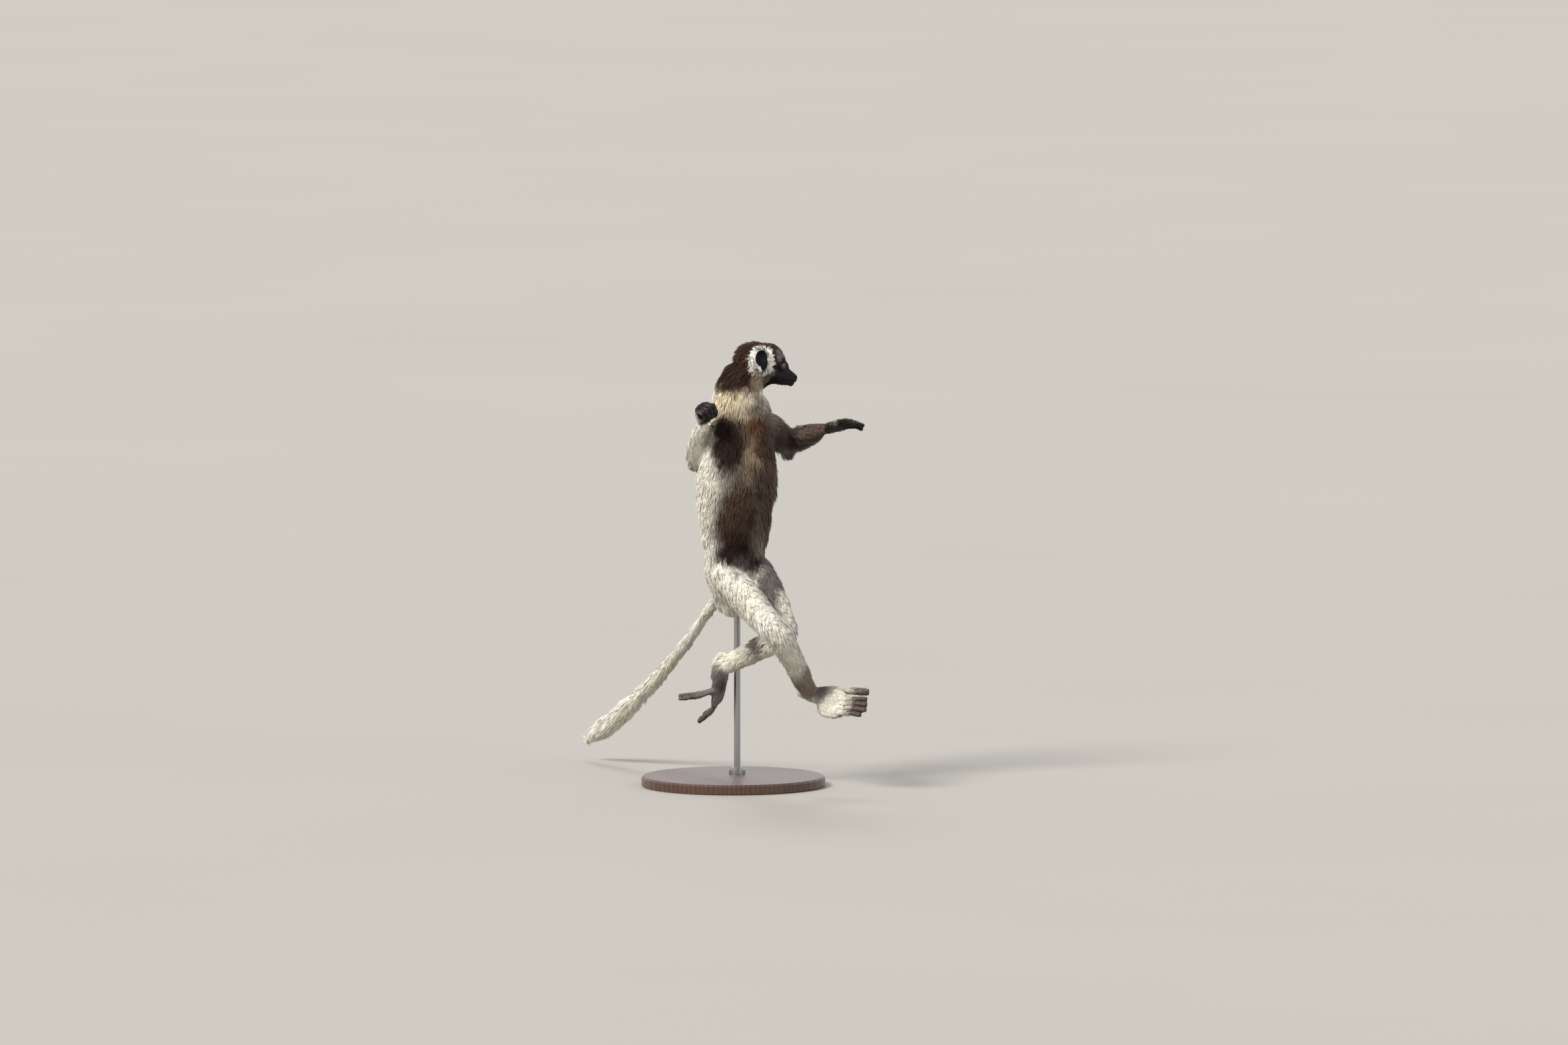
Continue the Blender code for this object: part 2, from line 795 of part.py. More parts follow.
def main():
    """Builds every piece of the model and parts the animal into its named lengths."""
    clear_scene()
    joints = skeleton()
    frame = head_frame()
    stand = make_stand()
    head, trunk, tail = make_head(frame), make_trunk(), make_tail()
    eyes = [make_eye(side, frame) for side in SIDES]
    ears = [make_ear(side, frame) for side in SIDES]
    limbs = {
        side: {"arm": make_arm(side, joints[side]), "leg": make_leg(side, joints[side])}
        for side in SIDES
    }

    # Whatever is cut is cut by a neighbour that is still whole.
    extremities = make_extremities(joints, limbs)
    carve(limbs["left"]["leg"], limbs["right"]["leg"])
    for limb in (tail, *limbs["right"].values(), *limbs["left"].values()):
        carve(limb, trunk)
    for piece in (trunk, *ears):
        carve(piece, head)
    carve(trunk, stand[1])
    carve(head, *eyes)

    parted = part_along(
        trunk,
        ("pelvis", "abdomen", "thorax", "neck"),
        [
            (Vector((0, 0, 0.365)), UP),
            (Vector((0, 0, 0.445)), UP),
            (Vector((0.012, 0, 0.612)), Vector((-0.15, 0, 1))),
        ],
    )
    parted += part_along(tail, ("tail_root", "tail_middle", "tail_brush"), tail_cuts())
    for side in SIDES:
        joint = joints[side]
        parted += part_limb(
            limbs[side]["arm"],
            (f"upper_arm_{side}", f"forearm_{side}"),
            joint["shoulder"],
            joint["elbow"],
            joint["wrist"],
        )
        parted += part_limb(
            limbs[side]["leg"],
            (f"thigh_{side}", f"shank_{side}"),
            joint["hip"],
            joint["knee"],
            joint["ankle"],
        )
    dress([*stand, head, *eyes, *ears, *parted, *extremities])


main()
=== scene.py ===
"""A life-size sifaka lemur in mid-leap on a plain display stand.

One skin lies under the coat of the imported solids, and tufts of fur follow the lie of the coat over
it. Eyes and nails are pieces of their own. The stand keeps its shape and gets finer finishes.
"""

import logging
import math
from dataclasses import dataclass, field, replace
from enum import Enum

import bmesh
import bpy
import numpy as np
from mathutils import Matrix, Vector
from mathutils.bvhtree import BVHTree


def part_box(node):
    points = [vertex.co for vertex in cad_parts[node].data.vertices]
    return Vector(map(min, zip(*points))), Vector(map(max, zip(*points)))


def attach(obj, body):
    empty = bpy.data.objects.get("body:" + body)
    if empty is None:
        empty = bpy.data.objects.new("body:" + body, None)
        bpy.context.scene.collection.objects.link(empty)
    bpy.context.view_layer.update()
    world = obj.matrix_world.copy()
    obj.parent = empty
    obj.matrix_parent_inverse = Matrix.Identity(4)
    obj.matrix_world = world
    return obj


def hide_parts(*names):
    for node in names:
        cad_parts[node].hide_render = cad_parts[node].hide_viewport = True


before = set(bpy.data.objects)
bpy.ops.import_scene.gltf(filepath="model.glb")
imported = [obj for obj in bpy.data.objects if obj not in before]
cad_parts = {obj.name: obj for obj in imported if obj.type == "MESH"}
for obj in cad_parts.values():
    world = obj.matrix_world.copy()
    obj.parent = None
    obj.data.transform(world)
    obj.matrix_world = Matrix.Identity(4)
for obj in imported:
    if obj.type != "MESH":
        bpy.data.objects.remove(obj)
log = logging.getLogger("sifaka")

Array = np.ndarray
Settings = dict[str, Array]
Socket = bpy.types.NodeSocket
Pair = tuple[float, float]
Triple = tuple[float, float, float]
Tone = Triple
UP = Vector((0.0, 0.0, 1.0))
NOISE_AXES = (73856093, 19349663, 83492791)
NOISE_SEED = 668265263
NOISE_MIXERS = ((15, 1274126177), (13, 374761393))


# ---- Small helpers ----


def tone(red: int, green: int, blue: int) -> Tone:
    """A linear colour from display values.

    Args:
        red, green, blue: display values from 0 to 255.

    Returns:
        The same colour in linear light.
    """
    return tuple(
        (value / 255 / 12.92) if value < 11 else ((value / 255 + 0.055) / 1.055) ** 2.4
        for value in (red, green, blue)
    )


def unit(vectors: Array) -> Array:
    """Vectors of length one along the last axis."""
    return vectors / np.maximum(np.linalg.norm(vectors, axis=-1, keepdims=True), 1e-12)


def ramp(low: float, high: float, values: Array) -> Array:
    """A smooth step from 0 at low to 1 at high.

    Args:
        low: where the step starts.
        high: where it ends; it may be below low.
        values: the places to read.

    Returns:
        Values from 0 to 1.
    """
    share = np.clip((values - low) / (high - low), 0.0, 1.0)
    return share * share * (3.0 - 2.0 * share)


def noise(points: Array, size: float, seed: int) -> Array:
    """Smooth noise over space.

    Args:
        points: places, one row each.
        size: the noise's cell in metres.
        seed: picks one of many patterns.

    Returns:
        A value from -1 to 1 for each place.
    """
    at = points / size + 512.0
    cell = np.floor(at).astype(np.int64)
    part = at - cell
    part = part * part * (3.0 - 2.0 * part)
    total = np.zeros(len(points))
    for corner in range(8):
        step = np.array([corner & 1, corner >> 1 & 1, corner >> 2 & 1])
        x, y, z = ((cell + step) * np.array(NOISE_AXES)).T
        mixed = x ^ y ^ z ^ seed * NOISE_SEED
        for shift, factor in NOISE_MIXERS:
            mixed = (mixed ^ (mixed >> shift)) * factor & 0x7FFFFFFF
        value = (mixed >> 8 & 0xFFFF) / 32767.5 - 1.0
        total += value * np.prod(np.where(step == 1, part, 1.0 - part), axis=1)
    return total


def drift(points: Array, size: float, seed: int) -> Array:
    """A smooth field of small vectors, made of three noises."""
    return np.stack([noise(points, size, seed + index) for index in range(3)], axis=1)


def direction(heading: float, pitch: float = 0.0) -> Vector:
    """A unit vector from a heading and a pitch in degrees."""
    turn, rise = math.radians(heading), math.radians(pitch)
    return Vector(
        (math.cos(turn) * math.cos(rise), math.sin(turn) * math.cos(rise), math.sin(rise))
    )


def frame_of(origin: Vector, forward: Vector, upward: Vector) -> Matrix:
    """A matrix whose X is forward and whose Z leans to upward.

    Args:
        origin: where the frame sits.
        forward: the direction of X.
        upward: the direction that Z leans to.

    Returns:
        The frame as a 4x4 matrix.
    """
    x_axis = forward.normalized()
    y_axis = upward.cross(x_axis).normalized()
    z_axis = x_axis.cross(y_axis)
    turned = Matrix((x_axis, y_axis, z_axis)).transposed().to_4x4()
    return Matrix.Translation(origin) @ turned


def local_to(seat: Matrix, points: Array) -> Array:
    """Points as seen from a frame.

    Args:
        seat: the frame.
        points: places, one row each.

    Returns:
        The places along the frame's own axes.
    """
    inverse = np.array(seat.inverted())
    return points @ inverse[:3, :3].T + inverse[:3, 3]


def world_of(seat: Matrix, vectors: Array) -> Array:
    """Directions along a frame's axes, turned to the model's axes."""
    return vectors @ np.array(seat)[:3, :3].T


def new_piece(name: str, data: bpy.types.ID) -> bpy.types.Object:
    """An object in the scene that holds a mesh, a lamp or a camera."""
    piece = bpy.data.objects.new(name, data)
    bpy.context.scene.collection.objects.link(piece)
    return piece


def settled(shape: bmesh.types.BMesh, name: str) -> bpy.types.Mesh:
    """Turns a working shape into a mesh and gives the shape up."""
    mesh = bpy.data.meshes.new(name)
    shape.to_mesh(mesh)
    shape.free()
    return mesh


def triangles_of(mesh: bpy.types.Mesh) -> int:
    """The number of triangles that a mesh's faces make."""
    return sum(len(face.vertices) - 2 for face in mesh.polygons)


def applied(piece: bpy.types.Object) -> bpy.types.Object:
    """Turns a piece's modifiers into its mesh.

    Args:
        piece: the object to settle.

    Returns:
        The same object with a plain mesh.
    """
    graph = bpy.context.evaluated_depsgraph_get()
    mesh = bpy.data.meshes.new_from_object(piece.evaluated_get(graph))
    worn = piece.data
    piece.modifiers.clear()
    piece.data = mesh
    bpy.data.meshes.remove(worn)
    return piece


def solid_copy(name: str) -> bmesh.types.BMesh:
    """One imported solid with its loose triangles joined.

    Args:
        name: the solid's node.

    Returns:
        A copy that is free to change.
    """
    shape = bmesh.new()
    shape.from_mesh(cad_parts[name].data)
    bmesh.ops.remove_doubles(shape, verts=shape.verts, dist=1e-6)
    shape.normal_update()
    return shape


# ---- The posed animal ----


class Side(Enum):
    """The animal's own right and left."""

    RIGHT = "right"
    LEFT = "left"

    @property
    def sign(self) -> float:
        """Minus one for the right side and one for the left."""
        return -1.0 if self is Side.RIGHT else 1.0


class Region(Enum):
    """The parts of the coat. Each makes one piece."""

    HEAD = "head"
    NECK = "neck"
    CHEST = "chest"
    FLANK = "flank"
    RUMP = "rump"
    TAIL = "tail"
    BRUSH = "brush"
    ARM_RIGHT = "upper_arm_right"
    ARM_LEFT = "upper_arm_left"
    FOREARM_RIGHT = "forearm_right"
    FOREARM_LEFT = "forearm_left"
    HAND_RIGHT = "hand_right"
    HAND_LEFT = "hand_left"
    THIGH_RIGHT = "thigh_right"
    THIGH_LEFT = "thigh_left"
    SHANK_RIGHT = "shank_right"
    SHANK_LEFT = "shank_left"
    FOOT_RIGHT = "foot_right"
    FOOT_LEFT = "foot_left"


@dataclass(frozen=True)
class Digit:
    """One finger or toe as it leaves its hand or foot."""

    root: Triple
    lengths: tuple[float, ...]
    radius: float
    bends: tuple[float, ...]
    splay: float
    lean: float
    nail: float = 1.0

    def mirrored(self) -> "Digit":
        """The same digit on a hand or foot of the other side."""
        x, y, z = self.root
        return replace(self, root=(x, -y, z), splay=-self.splay)

    def joints(self, seat: Matrix) -> tuple[list[Vector], Matrix]:
        """The digit's joints and the frame of its tip.

        Args:
            seat: the frame of the hand or foot.

        Returns:
            The joints from root to tip, and a frame at the tip that runs along the last bone with
            its Z out of the nail's side.
        """
        spread = Matrix.Rotation(math.radians(self.splay), 3, "Z")
        tilt = Matrix.Rotation(math.radians(-self.lean), 3, "Y")
        forward = spread @ tilt @ Vector((1, 0, 0))
        hinge = spread @ Vector((0, 1, 0))
        at = Vector(self.root)
        points = [at.copy()]
        for length, bend in zip(self.lengths, self.bends):
            forward = Matrix.Rotation(math.radians(bend), 3, hinge) @ forward
            at = at + forward * length
            points.append(at.copy())
        turned = seat.to_3x3()
        tip = frame_of(seat @ at, turned @ forward, turned @ forward.cross(hinge))
        return [seat @ point for point in points], tip


@dataclass(frozen=True)
class Skeleton:
    """The posed bones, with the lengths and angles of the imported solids."""

    LEFT_FOOT = (125, -72)

    femur: float = 0.158
    tibia: float = 0.142
    humerus: float = 0.082
    ulna: float = 0.097
    palm: float = 0.036
    instep: float = 0.066
    fingers: tuple[float, ...] = (0.022, 0.036, 0.036, 0.037, 0.031)
    toes: tuple[float, ...] = (0.056, 0.041, 0.045, 0.048, 0.043)
    hip_spread: float = 0.029
    shoulder_spread: float = 0.031
    hip_roll: float = 0.004
    pelvis: Triple = (0.003, 0.0, 0.340)
    shoulders: Triple = (0.018, 0.0, 0.571)
    pelvis_heading: float = -28
    chest_heading: float = -60
    tail_route: tuple[Triple, ...] = (
        (-0.016, 0.020, 0.312),
        (-0.112, 0.200, 0.138),
        (-0.234, 0.375, 0.034),
    )
    eye_forward: float = 0.031
    eye_drop: float = 0.001
    thumb_radius: float = 0.0042
    great_radius: float = 0.0063
    digit_radius: float = 0.0040

    def limb(self, side: Side) -> dict[str, Vector]:
        """The joints of one side.

        Args:
            side: right or left.

        Returns:
            The joints by name.
        """
        right = side is Side.RIGHT
        thigh, shank = ((-53, -31), (60, -46)) if right else ((-59, -38), (138, -24))
        upper, lower = ((136, -38), (-84, 34.5)) if right else ((58, -23), (-54, 15))
        hip = (
            Vector(self.pelvis)
            + direction(self.pelvis_heading + 90) * self.hip_spread * side.sign
            + UP * self.hip_roll * side.sign
        )
        knee = hip + direction(*thigh) * self.femur
        shoulder = (
            Vector(self.shoulders)
            + direction(self.chest_heading + 90) * self.shoulder_spread * side.sign
        )
        elbow = shoulder + direction(*upper) * self.humerus
        return {
            "hip": hip,
            "knee": knee,
            "ankle": knee + direction(*shank) * self.tibia,
            "shoulder": shoulder,
            "elbow": elbow,
            "wrist": elbow + direction(*lower) * self.ulna,
        }

    def tail(self, share: float) -> Vector:
        """A point on the tail, from 0 at its root to 1 at its tip."""
        start, bend, end = (Vector(point) for point in self.tail_route)
        return start * (1 - share) ** 2 + bend * 2 * share * (1 - share) + end * share**2

    def head(self) -> Matrix:
        """The head's frame, found from the eyes.

        Returns:
            Forward, left and up from the middle of the braincase.
        """
        right, left = (
            sum((Vector(corner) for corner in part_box(f"eye_{side.value}")), Vector()) / 2
            for side in Side
        )
        leftward = (left - right).normalized()
        forward = leftward.cross(UP).normalized()
        middle = (right + left) / 2 - forward * self.eye_forward + UP * self.eye_drop
        return frame_of(middle, forward, UP)

    def seats(self) -> dict[str, Matrix]:
        """The frames of the hands and feet.

        Returns:
            The frames by name. X runs to the digits and Z is the back.
        """
        rows = (
            ("hand", Side.RIGHT, "wrist", (-100, 62), (-0.75, 0.50, 0.55)),
            ("hand", Side.LEFT, "wrist", (-24, 15), (-0.10, 0.60, 0.80)),
            ("foot", Side.RIGHT, "ankle", (-38, -6), (-0.50, -0.80, 0.30)),
            ("foot", Side.LEFT, "ankle", self.LEFT_FOOT, (0.86, -0.20, -0.45)),
        )
        return {
            f"{kind}_{side.value}": frame_of(self.limb(side)[joint], direction(*way), Vector(back))
            for kind, side, joint, way, back in rows
        }

    def hand(
        self, curl: Triple, drops: tuple[float, ...], bends: Pair, splay: float, lean: float
    ) -> list[Digit]:
        """A thumb and four fingers.

        Args:
            curl: how far each bone of a finger bends, in degrees.
            drops: how much further each finger's first bone bends.
            bends: how far each bone of the thumb bends.
            splay: how far the thumb stands off.
            lean: how far the thumb leans off the palm.

        Returns:
            The five digits, thumb first.
        """
        thumb, *others = self.fingers
        root, parts = (self.palm * 0.42, 0.0115, -0.002), (thumb * 0.55, thumb * 0.45)
        digits = [Digit(root, parts, self.thumb_radius, bends, splay, lean, 1.1)]
        for index, length in enumerate(others):
            root = (self.palm * (0.98 - 0.035 * abs(index - 1.4)), 0.0114 - 0.0077 * index, 0.0)
            parts = (length * 0.44, length * 0.31, length * 0.25)
            turns = (curl[0] + drops[index], *curl[1:])
            digits.append(Digit(root, parts, self.digit_radius, turns, 5 - 3.6 * index, 0))
        return digits

    def foot(self, curl: Triple, fan: float, bends: Pair, splay: float, lean: float) -> list[Digit]:
        """A great toe that stands off, and four toes held together.

        Args:
            curl: how far each bone of a toe bends, in degrees.
            fan: how far the second toe turns to the great toe's side.
            bends: the same for the great toe.
            splay: how far the great toe stands off.
            lean: how far it leans off the sole.

        Returns:
            The five digits, great toe first.
        """
        great, *others = self.toes
        root, parts = (self.instep * 0.58, 0.0120, -0.002), (great * 0.56, great * 0.44)
        digits = [Digit(root, parts, self.great_radius, bends, splay, lean, 1.5)]
        for index, length in enumerate(others):
            root = (self.instep * (0.99 - 0.03 * index), 0.0016 - 0.0072 * index, 0.0)
            parts = (length * 0.42, length * 0.32, length * 0.26)
            digits.append(Digit(root, parts, self.digit_radius, curl, fan - 2.4 * index, 0))
        return digits

    def digits(self) -> dict[str, list[Digit]]:
        """The digits of each hand and foot in the leap's pose.

        Returns:
            The digits by the name of their hand or foot.
        """
        return {
            "hand_right": self.hand((80, 70, 50), (0, 4, 10, 16), (10, 15), -50, -45),
            "hand_left": [
                digit.mirrored()
                for digit in self.hand((4, 13, 20), (6, 2, -2, 0), (4, 8), 14, -20)
            ],
            "foot_right": self.foot((2, 9, 12), 11, (2, 8), 14, -28),
            "foot_left": [
                digit.mirrored() for digit in self.foot((22, 13, 8), 2, (8, 10), 56, -44)
            ],
        }


@dataclass(frozen=True)
class Bone:
    """A stretch of the body along which the coat lies one way.

    Pairs run from its start to its end. The girth is the body's radius out to the coat's tips, and
    bare is how far the skin shows.
    """

    region: Region
    start: Vector
    end: Vector
    girth: Pair
    depth: Pair
    reach: Pair
    breadth: float = 0.0012
    bare: float = 0.0
    comb: float = 1.0
    fall: float = 0.25


@dataclass(frozen=True)
class Fringe:
    """A place where the coat is longer and hangs or stands off."""

    centre: Triple
    radii: Triple
    pull: Triple
    facing: Triple
    longer: float
    lift: float = 0.0


@dataclass(frozen=True)
class Patch:
    """One marking: a soft oval of colour, which may show only where the coat faces one way."""

    colour: Tone
    centre: Triple
    radii: Triple
    strength: float = 1.0
    soft: float = 0.35
    facing: Triple | None = None


def inside(
    points: Array, centre: tuple[float, ...], radii: tuple[float, ...], soft: float
) -> Array:
    """How far points lie inside a soft oval.

    Args:
        points: places, one row each.
        centre: the oval's middle.
        radii: its half sizes along the axes.
        soft: the width of its edge as a share of its size.

    Returns:
        One well inside, zero well outside.
    """
    far = np.linalg.norm((points - np.array(centre)) / np.array(radii), axis=1)
    return ramp(1.0 + soft, 1.0 - soft, far)


class Markings:
    """The coat's and the skin's colours, as soft markings in one place for both."""

    CREAM = tone(238, 229, 206)
    # Cream-yellow of the nape and shoulders, with painted sunlight in it.
    WARM = tone(236, 216, 172)
    CROWN = tone(40, 27, 22)
    NAPE = tone(80, 56, 43)
    RUFOUS = tone(94, 57, 34)
    # Near-black brown: dark sparse-haired skin, with painted shade of hollows and limb undersides in
    # it.
    DARK_BROWN_AND_SHADE = tone(38, 27, 23)
    BELLY = tone(64, 48, 40)
    CHEST = tone(150, 128, 104)
    GREY = tone(138, 133, 130)
    SLATE = tone(80, 76, 76)
    BROWN_GREY = tone(112, 90, 79)
    SOOT = tone(19, 15, 16)
    HIDE = tone(35, 30, 29)
    SOLE = tone(80, 67, 63)
    EAR = tone(12, 11, 12)
    WHITE = tone(243, 238, 226)
    # Dark brown of the left arm's inner coat, darkened further as painted shade.
    SLEEVE_AND_SHADE = tone(84, 65, 60)
    # Pinkish pale of the forehead band, with a painted highlight in it.
    BROW = tone(196, 182, 176)

    HEAD_REACH = (0.075, 0.060)
    EYE_RING = (0.0170, 0.0205)
    EYE_UP = 0.0070
    JAW = (0.014, 0.024)
    FACE_LEVELS = (-0.048, -0.040, -0.034, -0.026, -0.014, 0.000, 0.008, 0.016, 0.024)
    FACE_EDGES = (0.060, 0.016, 0.006, 0.012, 0.0225, 0.0235, 0.0310, 0.0400, 0.0480)
    SHOWS = (0.05, 0.45)
    FEET_LEVEL = (0.35, 0.28)

    def __init__(self, skeleton: Skeleton) -> None:
        """Lays out the markings.

        Args:
            skeleton: the posed animal.
        """
        self.head = skeleton.head()
        self.patches = self.body(skeleton.limb(Side.LEFT))

    def body(self, left: dict[str, Vector]) -> list[Patch]:
        """The markings of the trunk and limbs; some are partly painted shade, and one partly painted
        sunlight.

        Args:
            left: the joints of the left limbs.

        Returns:
            The markings, the undermost first.
        """
        front = (0.35, -1.0, 0.0)
        wrist = tuple(left["wrist"])
        instep = tuple(left["ankle"] + direction(*Skeleton.LEFT_FOOT) * 0.052)
        return [
            Patch(self.CHEST, (0.044, -0.030, 0.480), (0.038, 0.075, 0.120), 0.90, 0.5),
            # Nape and shoulders: cream-yellow coat with painted sunlight.
            Patch(self.WARM, (-0.014, -0.030, 0.618), (0.036, 0.055, 0.042), 0.85, 0.5),
            Patch(self.RUFOUS, (0.036, -0.045, 0.568), (0.029, 0.055, 0.046), 0.95, 0.4),
            Patch(self.BELLY, (0.056, -0.005, 0.470), (0.024, 0.070, 0.125), 0.85, 0.4),
            Patch(self.RUFOUS, (0.010, -0.045, 0.588), (0.026, 0.040, 0.012), 0.90, 0.6),
            Patch(self.CHEST, (0.026, -0.055, 0.530), (0.016, 0.045, 0.034), 0.90, 0.4, front),
            # Armpit: dark sparse-haired skin, darker still as painted shade under the right arm.
            Patch(self.DARK_BROWN_AND_SHADE, (-0.007, -0.055, 0.550), (0.026, 0.065, 0.053), 1.0, 0.40),
            Patch(self.BELLY, (0.022, -0.058, 0.484), (0.034, 0.045, 0.036), 0.85, 0.5, front),
            Patch(self.CHEST, (0.026, -0.060, 0.508), (0.010, 0.030, 0.018), 0.60, 0.6, front),
            Patch(self.BELLY, (0.006, -0.058, 0.430), (0.036, 0.060, 0.062), 1.0, 0.40, front),
            Patch(self.DARK_BROWN_AND_SHADE, (0.004, -0.055, 0.390), (0.031, 0.060, 0.030), 1.0, 0.40, front),
            Patch(self.DARK_BROWN_AND_SHADE, (0.040, -0.050, 0.366), (0.026, 0.045, 0.018), 1.0, 0.4),
            Patch(self.SLATE, (0.016, -0.050, 0.358), (0.030, 0.030, 0.014), 0.75, 0.6),
            # Inner side of the far (left) thigh: painted shade on the white coat.
            Patch(self.SLATE, (0.052, -0.045, 0.322), (0.021, 0.060, 0.044), 0.95, 0.45),
            Patch(self.GREY, (0.066, -0.092, 0.286), (0.020, 0.030, 0.030), 0.55, 0.6, front),
            Patch(self.DARK_BROWN_AND_SHADE, (0.042, -0.062, 0.232), (0.014, 0.040, 0.017), 0.90, 0.5),
            Patch(self.GREY, (0.030, -0.040, 0.224), (0.026, 0.030, 0.010), 0.55, 0.6),
            # Lower right shin: painted shade, browned as if lit from the ground below.
            Patch(self.BROWN_GREY, (0.116, -0.075, 0.180), (0.028, 0.040, 0.044), 0.85, 0.5),
            Patch(self.SLATE, (0.137, -0.055, 0.158), (0.015, 0.030, 0.016), 0.85, 0.6),
            Patch(self.SLATE, (-0.020, 0.006, 0.174), (0.013, 0.026, 0.015), 0.85, 0.6),
            Patch(self.GREY, (-0.012, 0.035, 0.290), (0.014, 0.030, 0.022), 0.60, 0.6),
            Patch(self.BROWN_GREY, (-0.024, 0.062, 0.235), (0.016, 0.040, 0.040), 0.45, 0.6,
                  (1.0, -0.2, -0.5)),
            # Left arm's camera side and wrist: dark inner coat with painted shade.
            Patch(self.SLEEVE_AND_SHADE, (0.100, 0.040, 0.560), (0.075, 0.075, 0.050), 0.95, 0.4,
                  (0.1, -1.0, 0.35)),
            Patch(self.SLEEVE_AND_SHADE, wrist, (0.036, 0.036, 0.036), 0.95, 0.4),
            # Hanging fringe under the left elbow: white coat painted cream-brown as shade.
            Patch(self.CHEST, (0.085, 0.050, 0.508), (0.040, 0.050, 0.012), 0.75, 0.5),
            Patch(self.SLATE, instep, (0.056, 0.050, 0.050), 0.78, 0.35),
            # Underside of the left arm: dark skin with painted shade.
            Patch(self.DARK_BROWN_AND_SHADE, (0.085, 0.050, 0.530), (0.060, 0.060, 0.030), 0.80, 0.5,
                  (0.3, -0.7, -0.7)),
            # Inner side of the right upper arm by the armpit: brown coat with painted shade.
            Patch(self.NAPE, (-0.036, -0.005, 0.552), (0.014, 0.050, 0.040), 0.65, 0.6,
                  (1.0, -0.3, 0.0)),
        ]

    def base(self, points: Array) -> Array:
        """The pale coat, warmer in some places and greyer in others.

        Args:
            points: places, one row each.

        Returns:
            Linear colours, one row each.
        """
        warm = 0.5 + 0.5 * noise(points, 0.030, 11)
        dull = ramp(0.15, 0.95, noise(points, 0.011, 12)) * 0.34
        cream, soft = np.array(self.CREAM), np.array(self.WHITE)
        colour = soft + (cream - soft) * warm[:, None]
        return colour + (np.array(self.BROWN_GREY) - colour) * dull[:, None] * 0.6

    def head_marks(self, points: Array, colour: Array) -> Array:
        """Lays the head's cap, ring, cheeks and dark face over the coat.

        Args:
            points: places, one row each.
            colour: the colours so far.

        Returns:
            The colours with the head's markings.
        """
        at = local_to(self.head, points)
        wander = drift(points, 0.006, 21) * 0.0016
        f, l, u = (at + wander).T
        near = ramp(*self.HEAD_REACH, np.linalg.norm(at, axis=1))
        cap = near * ramp(-0.036, -0.020, u - 0.30 * (f + 0.03)) * ramp(0.046, 0.038, f)
        nape = near * ramp(-0.044, -0.026, u) * ramp(0.010, -0.012, f)
        colour = self.lay(colour, self.NAPE, nape)
        colour = self.lay(colour, self.CROWN, cap)
        cheek = near * ramp(0.003, 0.010, f) * ramp(-0.006, -0.012, u)
        colour = self.lay(colour, self.BELLY, cheek * 0.9)
        side = ramp(0.012, 0.020, np.abs(l))
        ring = np.hypot(f / self.EYE_RING[0], (u - self.EYE_UP) / self.EYE_RING[1])
        colour = self.lay(colour, self.WHITE, side * ramp(1.06, 0.90, ring))
        jaw = np.hypot((f + 0.003) / self.JAW[0], (u + 0.030) / self.JAW[1])
        colour = self.lay(colour, self.CHEST, side * ramp(1.2, 0.75, jaw) * 0.75)
        # Pale band across the brow, partly painted highlight.
        band = near * ramp(0.022, 0.030, f) * ramp(0.003, 0.009, u) * ramp(0.026, 0.020, u)
        colour = self.lay(colour, self.BROW, band * 0.22)
        return self.lay(colour, self.SOOT, near * self.bare_face(at + wander))

    @classmethod
    def bare_face(cls, at: Array) -> Array:
        """How far the skin of the face lies bare, from places in the head's frame."""
        edge = np.interp(at[:, 2], cls.FACE_LEVELS, cls.FACE_EDGES)
        return ramp(-0.0018, 0.0022, at[:, 0] - edge)

    @staticmethod
    def ear_mouth(at: Array) -> Array:
        """The bare dark hollow of an ear, shaped like a comma.

        Args:
            at: places in the head's frame.

        Returns:
            One in the hollow, zero away from it.
        """
        f, u = at[:, 0], at[:, 2]
        bowl = np.hypot((f - 0.0008) / 0.0125, (u - 0.0125) / 0.0140)
        lean = f - 0.0042 + 0.30 * (u + 0.003)
        tail = np.hypot(lean / 0.0064, (u + 0.0030) / 0.0110)
        return ramp(1.12, 0.88, np.minimum(bowl, tail))

    @staticmethod
    def lay(colour: Array, over: Tone, share: Array) -> Array:
        """Lays one colour over others by a share for each place."""
        return colour + (np.array(over) - colour) * np.clip(share, 0, 1)[:, None]

    def read(self, points: Array, normals: Array, hide: Array) -> Array:
        """The colour at each place.

        Args:
            points: places, one row each.
            normals: which way the coat faces there.
            hide: how far the place is a bare hand or foot, from 0 to 1.

        Returns:
            Linear colours, one row each.
        """
        colour = self.base(points)
        shifted = points + drift(points, 0.018, 31) * 0.007 + drift(points, 0.005, 34) * 0.0025
        for patch in self.patches:
            share = inside(shifted, patch.centre, patch.radii, patch.soft) * patch.strength
            if patch.facing is not None:
                share *= ramp(*self.SHOWS, normals @ unit(np.array(patch.facing)))
            colour = self.lay(colour, patch.colour, share)
        colour = self.head_marks(points, colour)
        mottle = 1.0 + 0.22 * noise(points, 0.004, 41)[:, None]
        low = ramp(*self.FEET_LEVEL, points[:, 2])[:, None]
        bare = np.array(self.HIDE) + (np.array(self.SOLE) - np.array(self.HIDE)) * low
        return colour + (bare * mottle - colour) * hide[:, None]


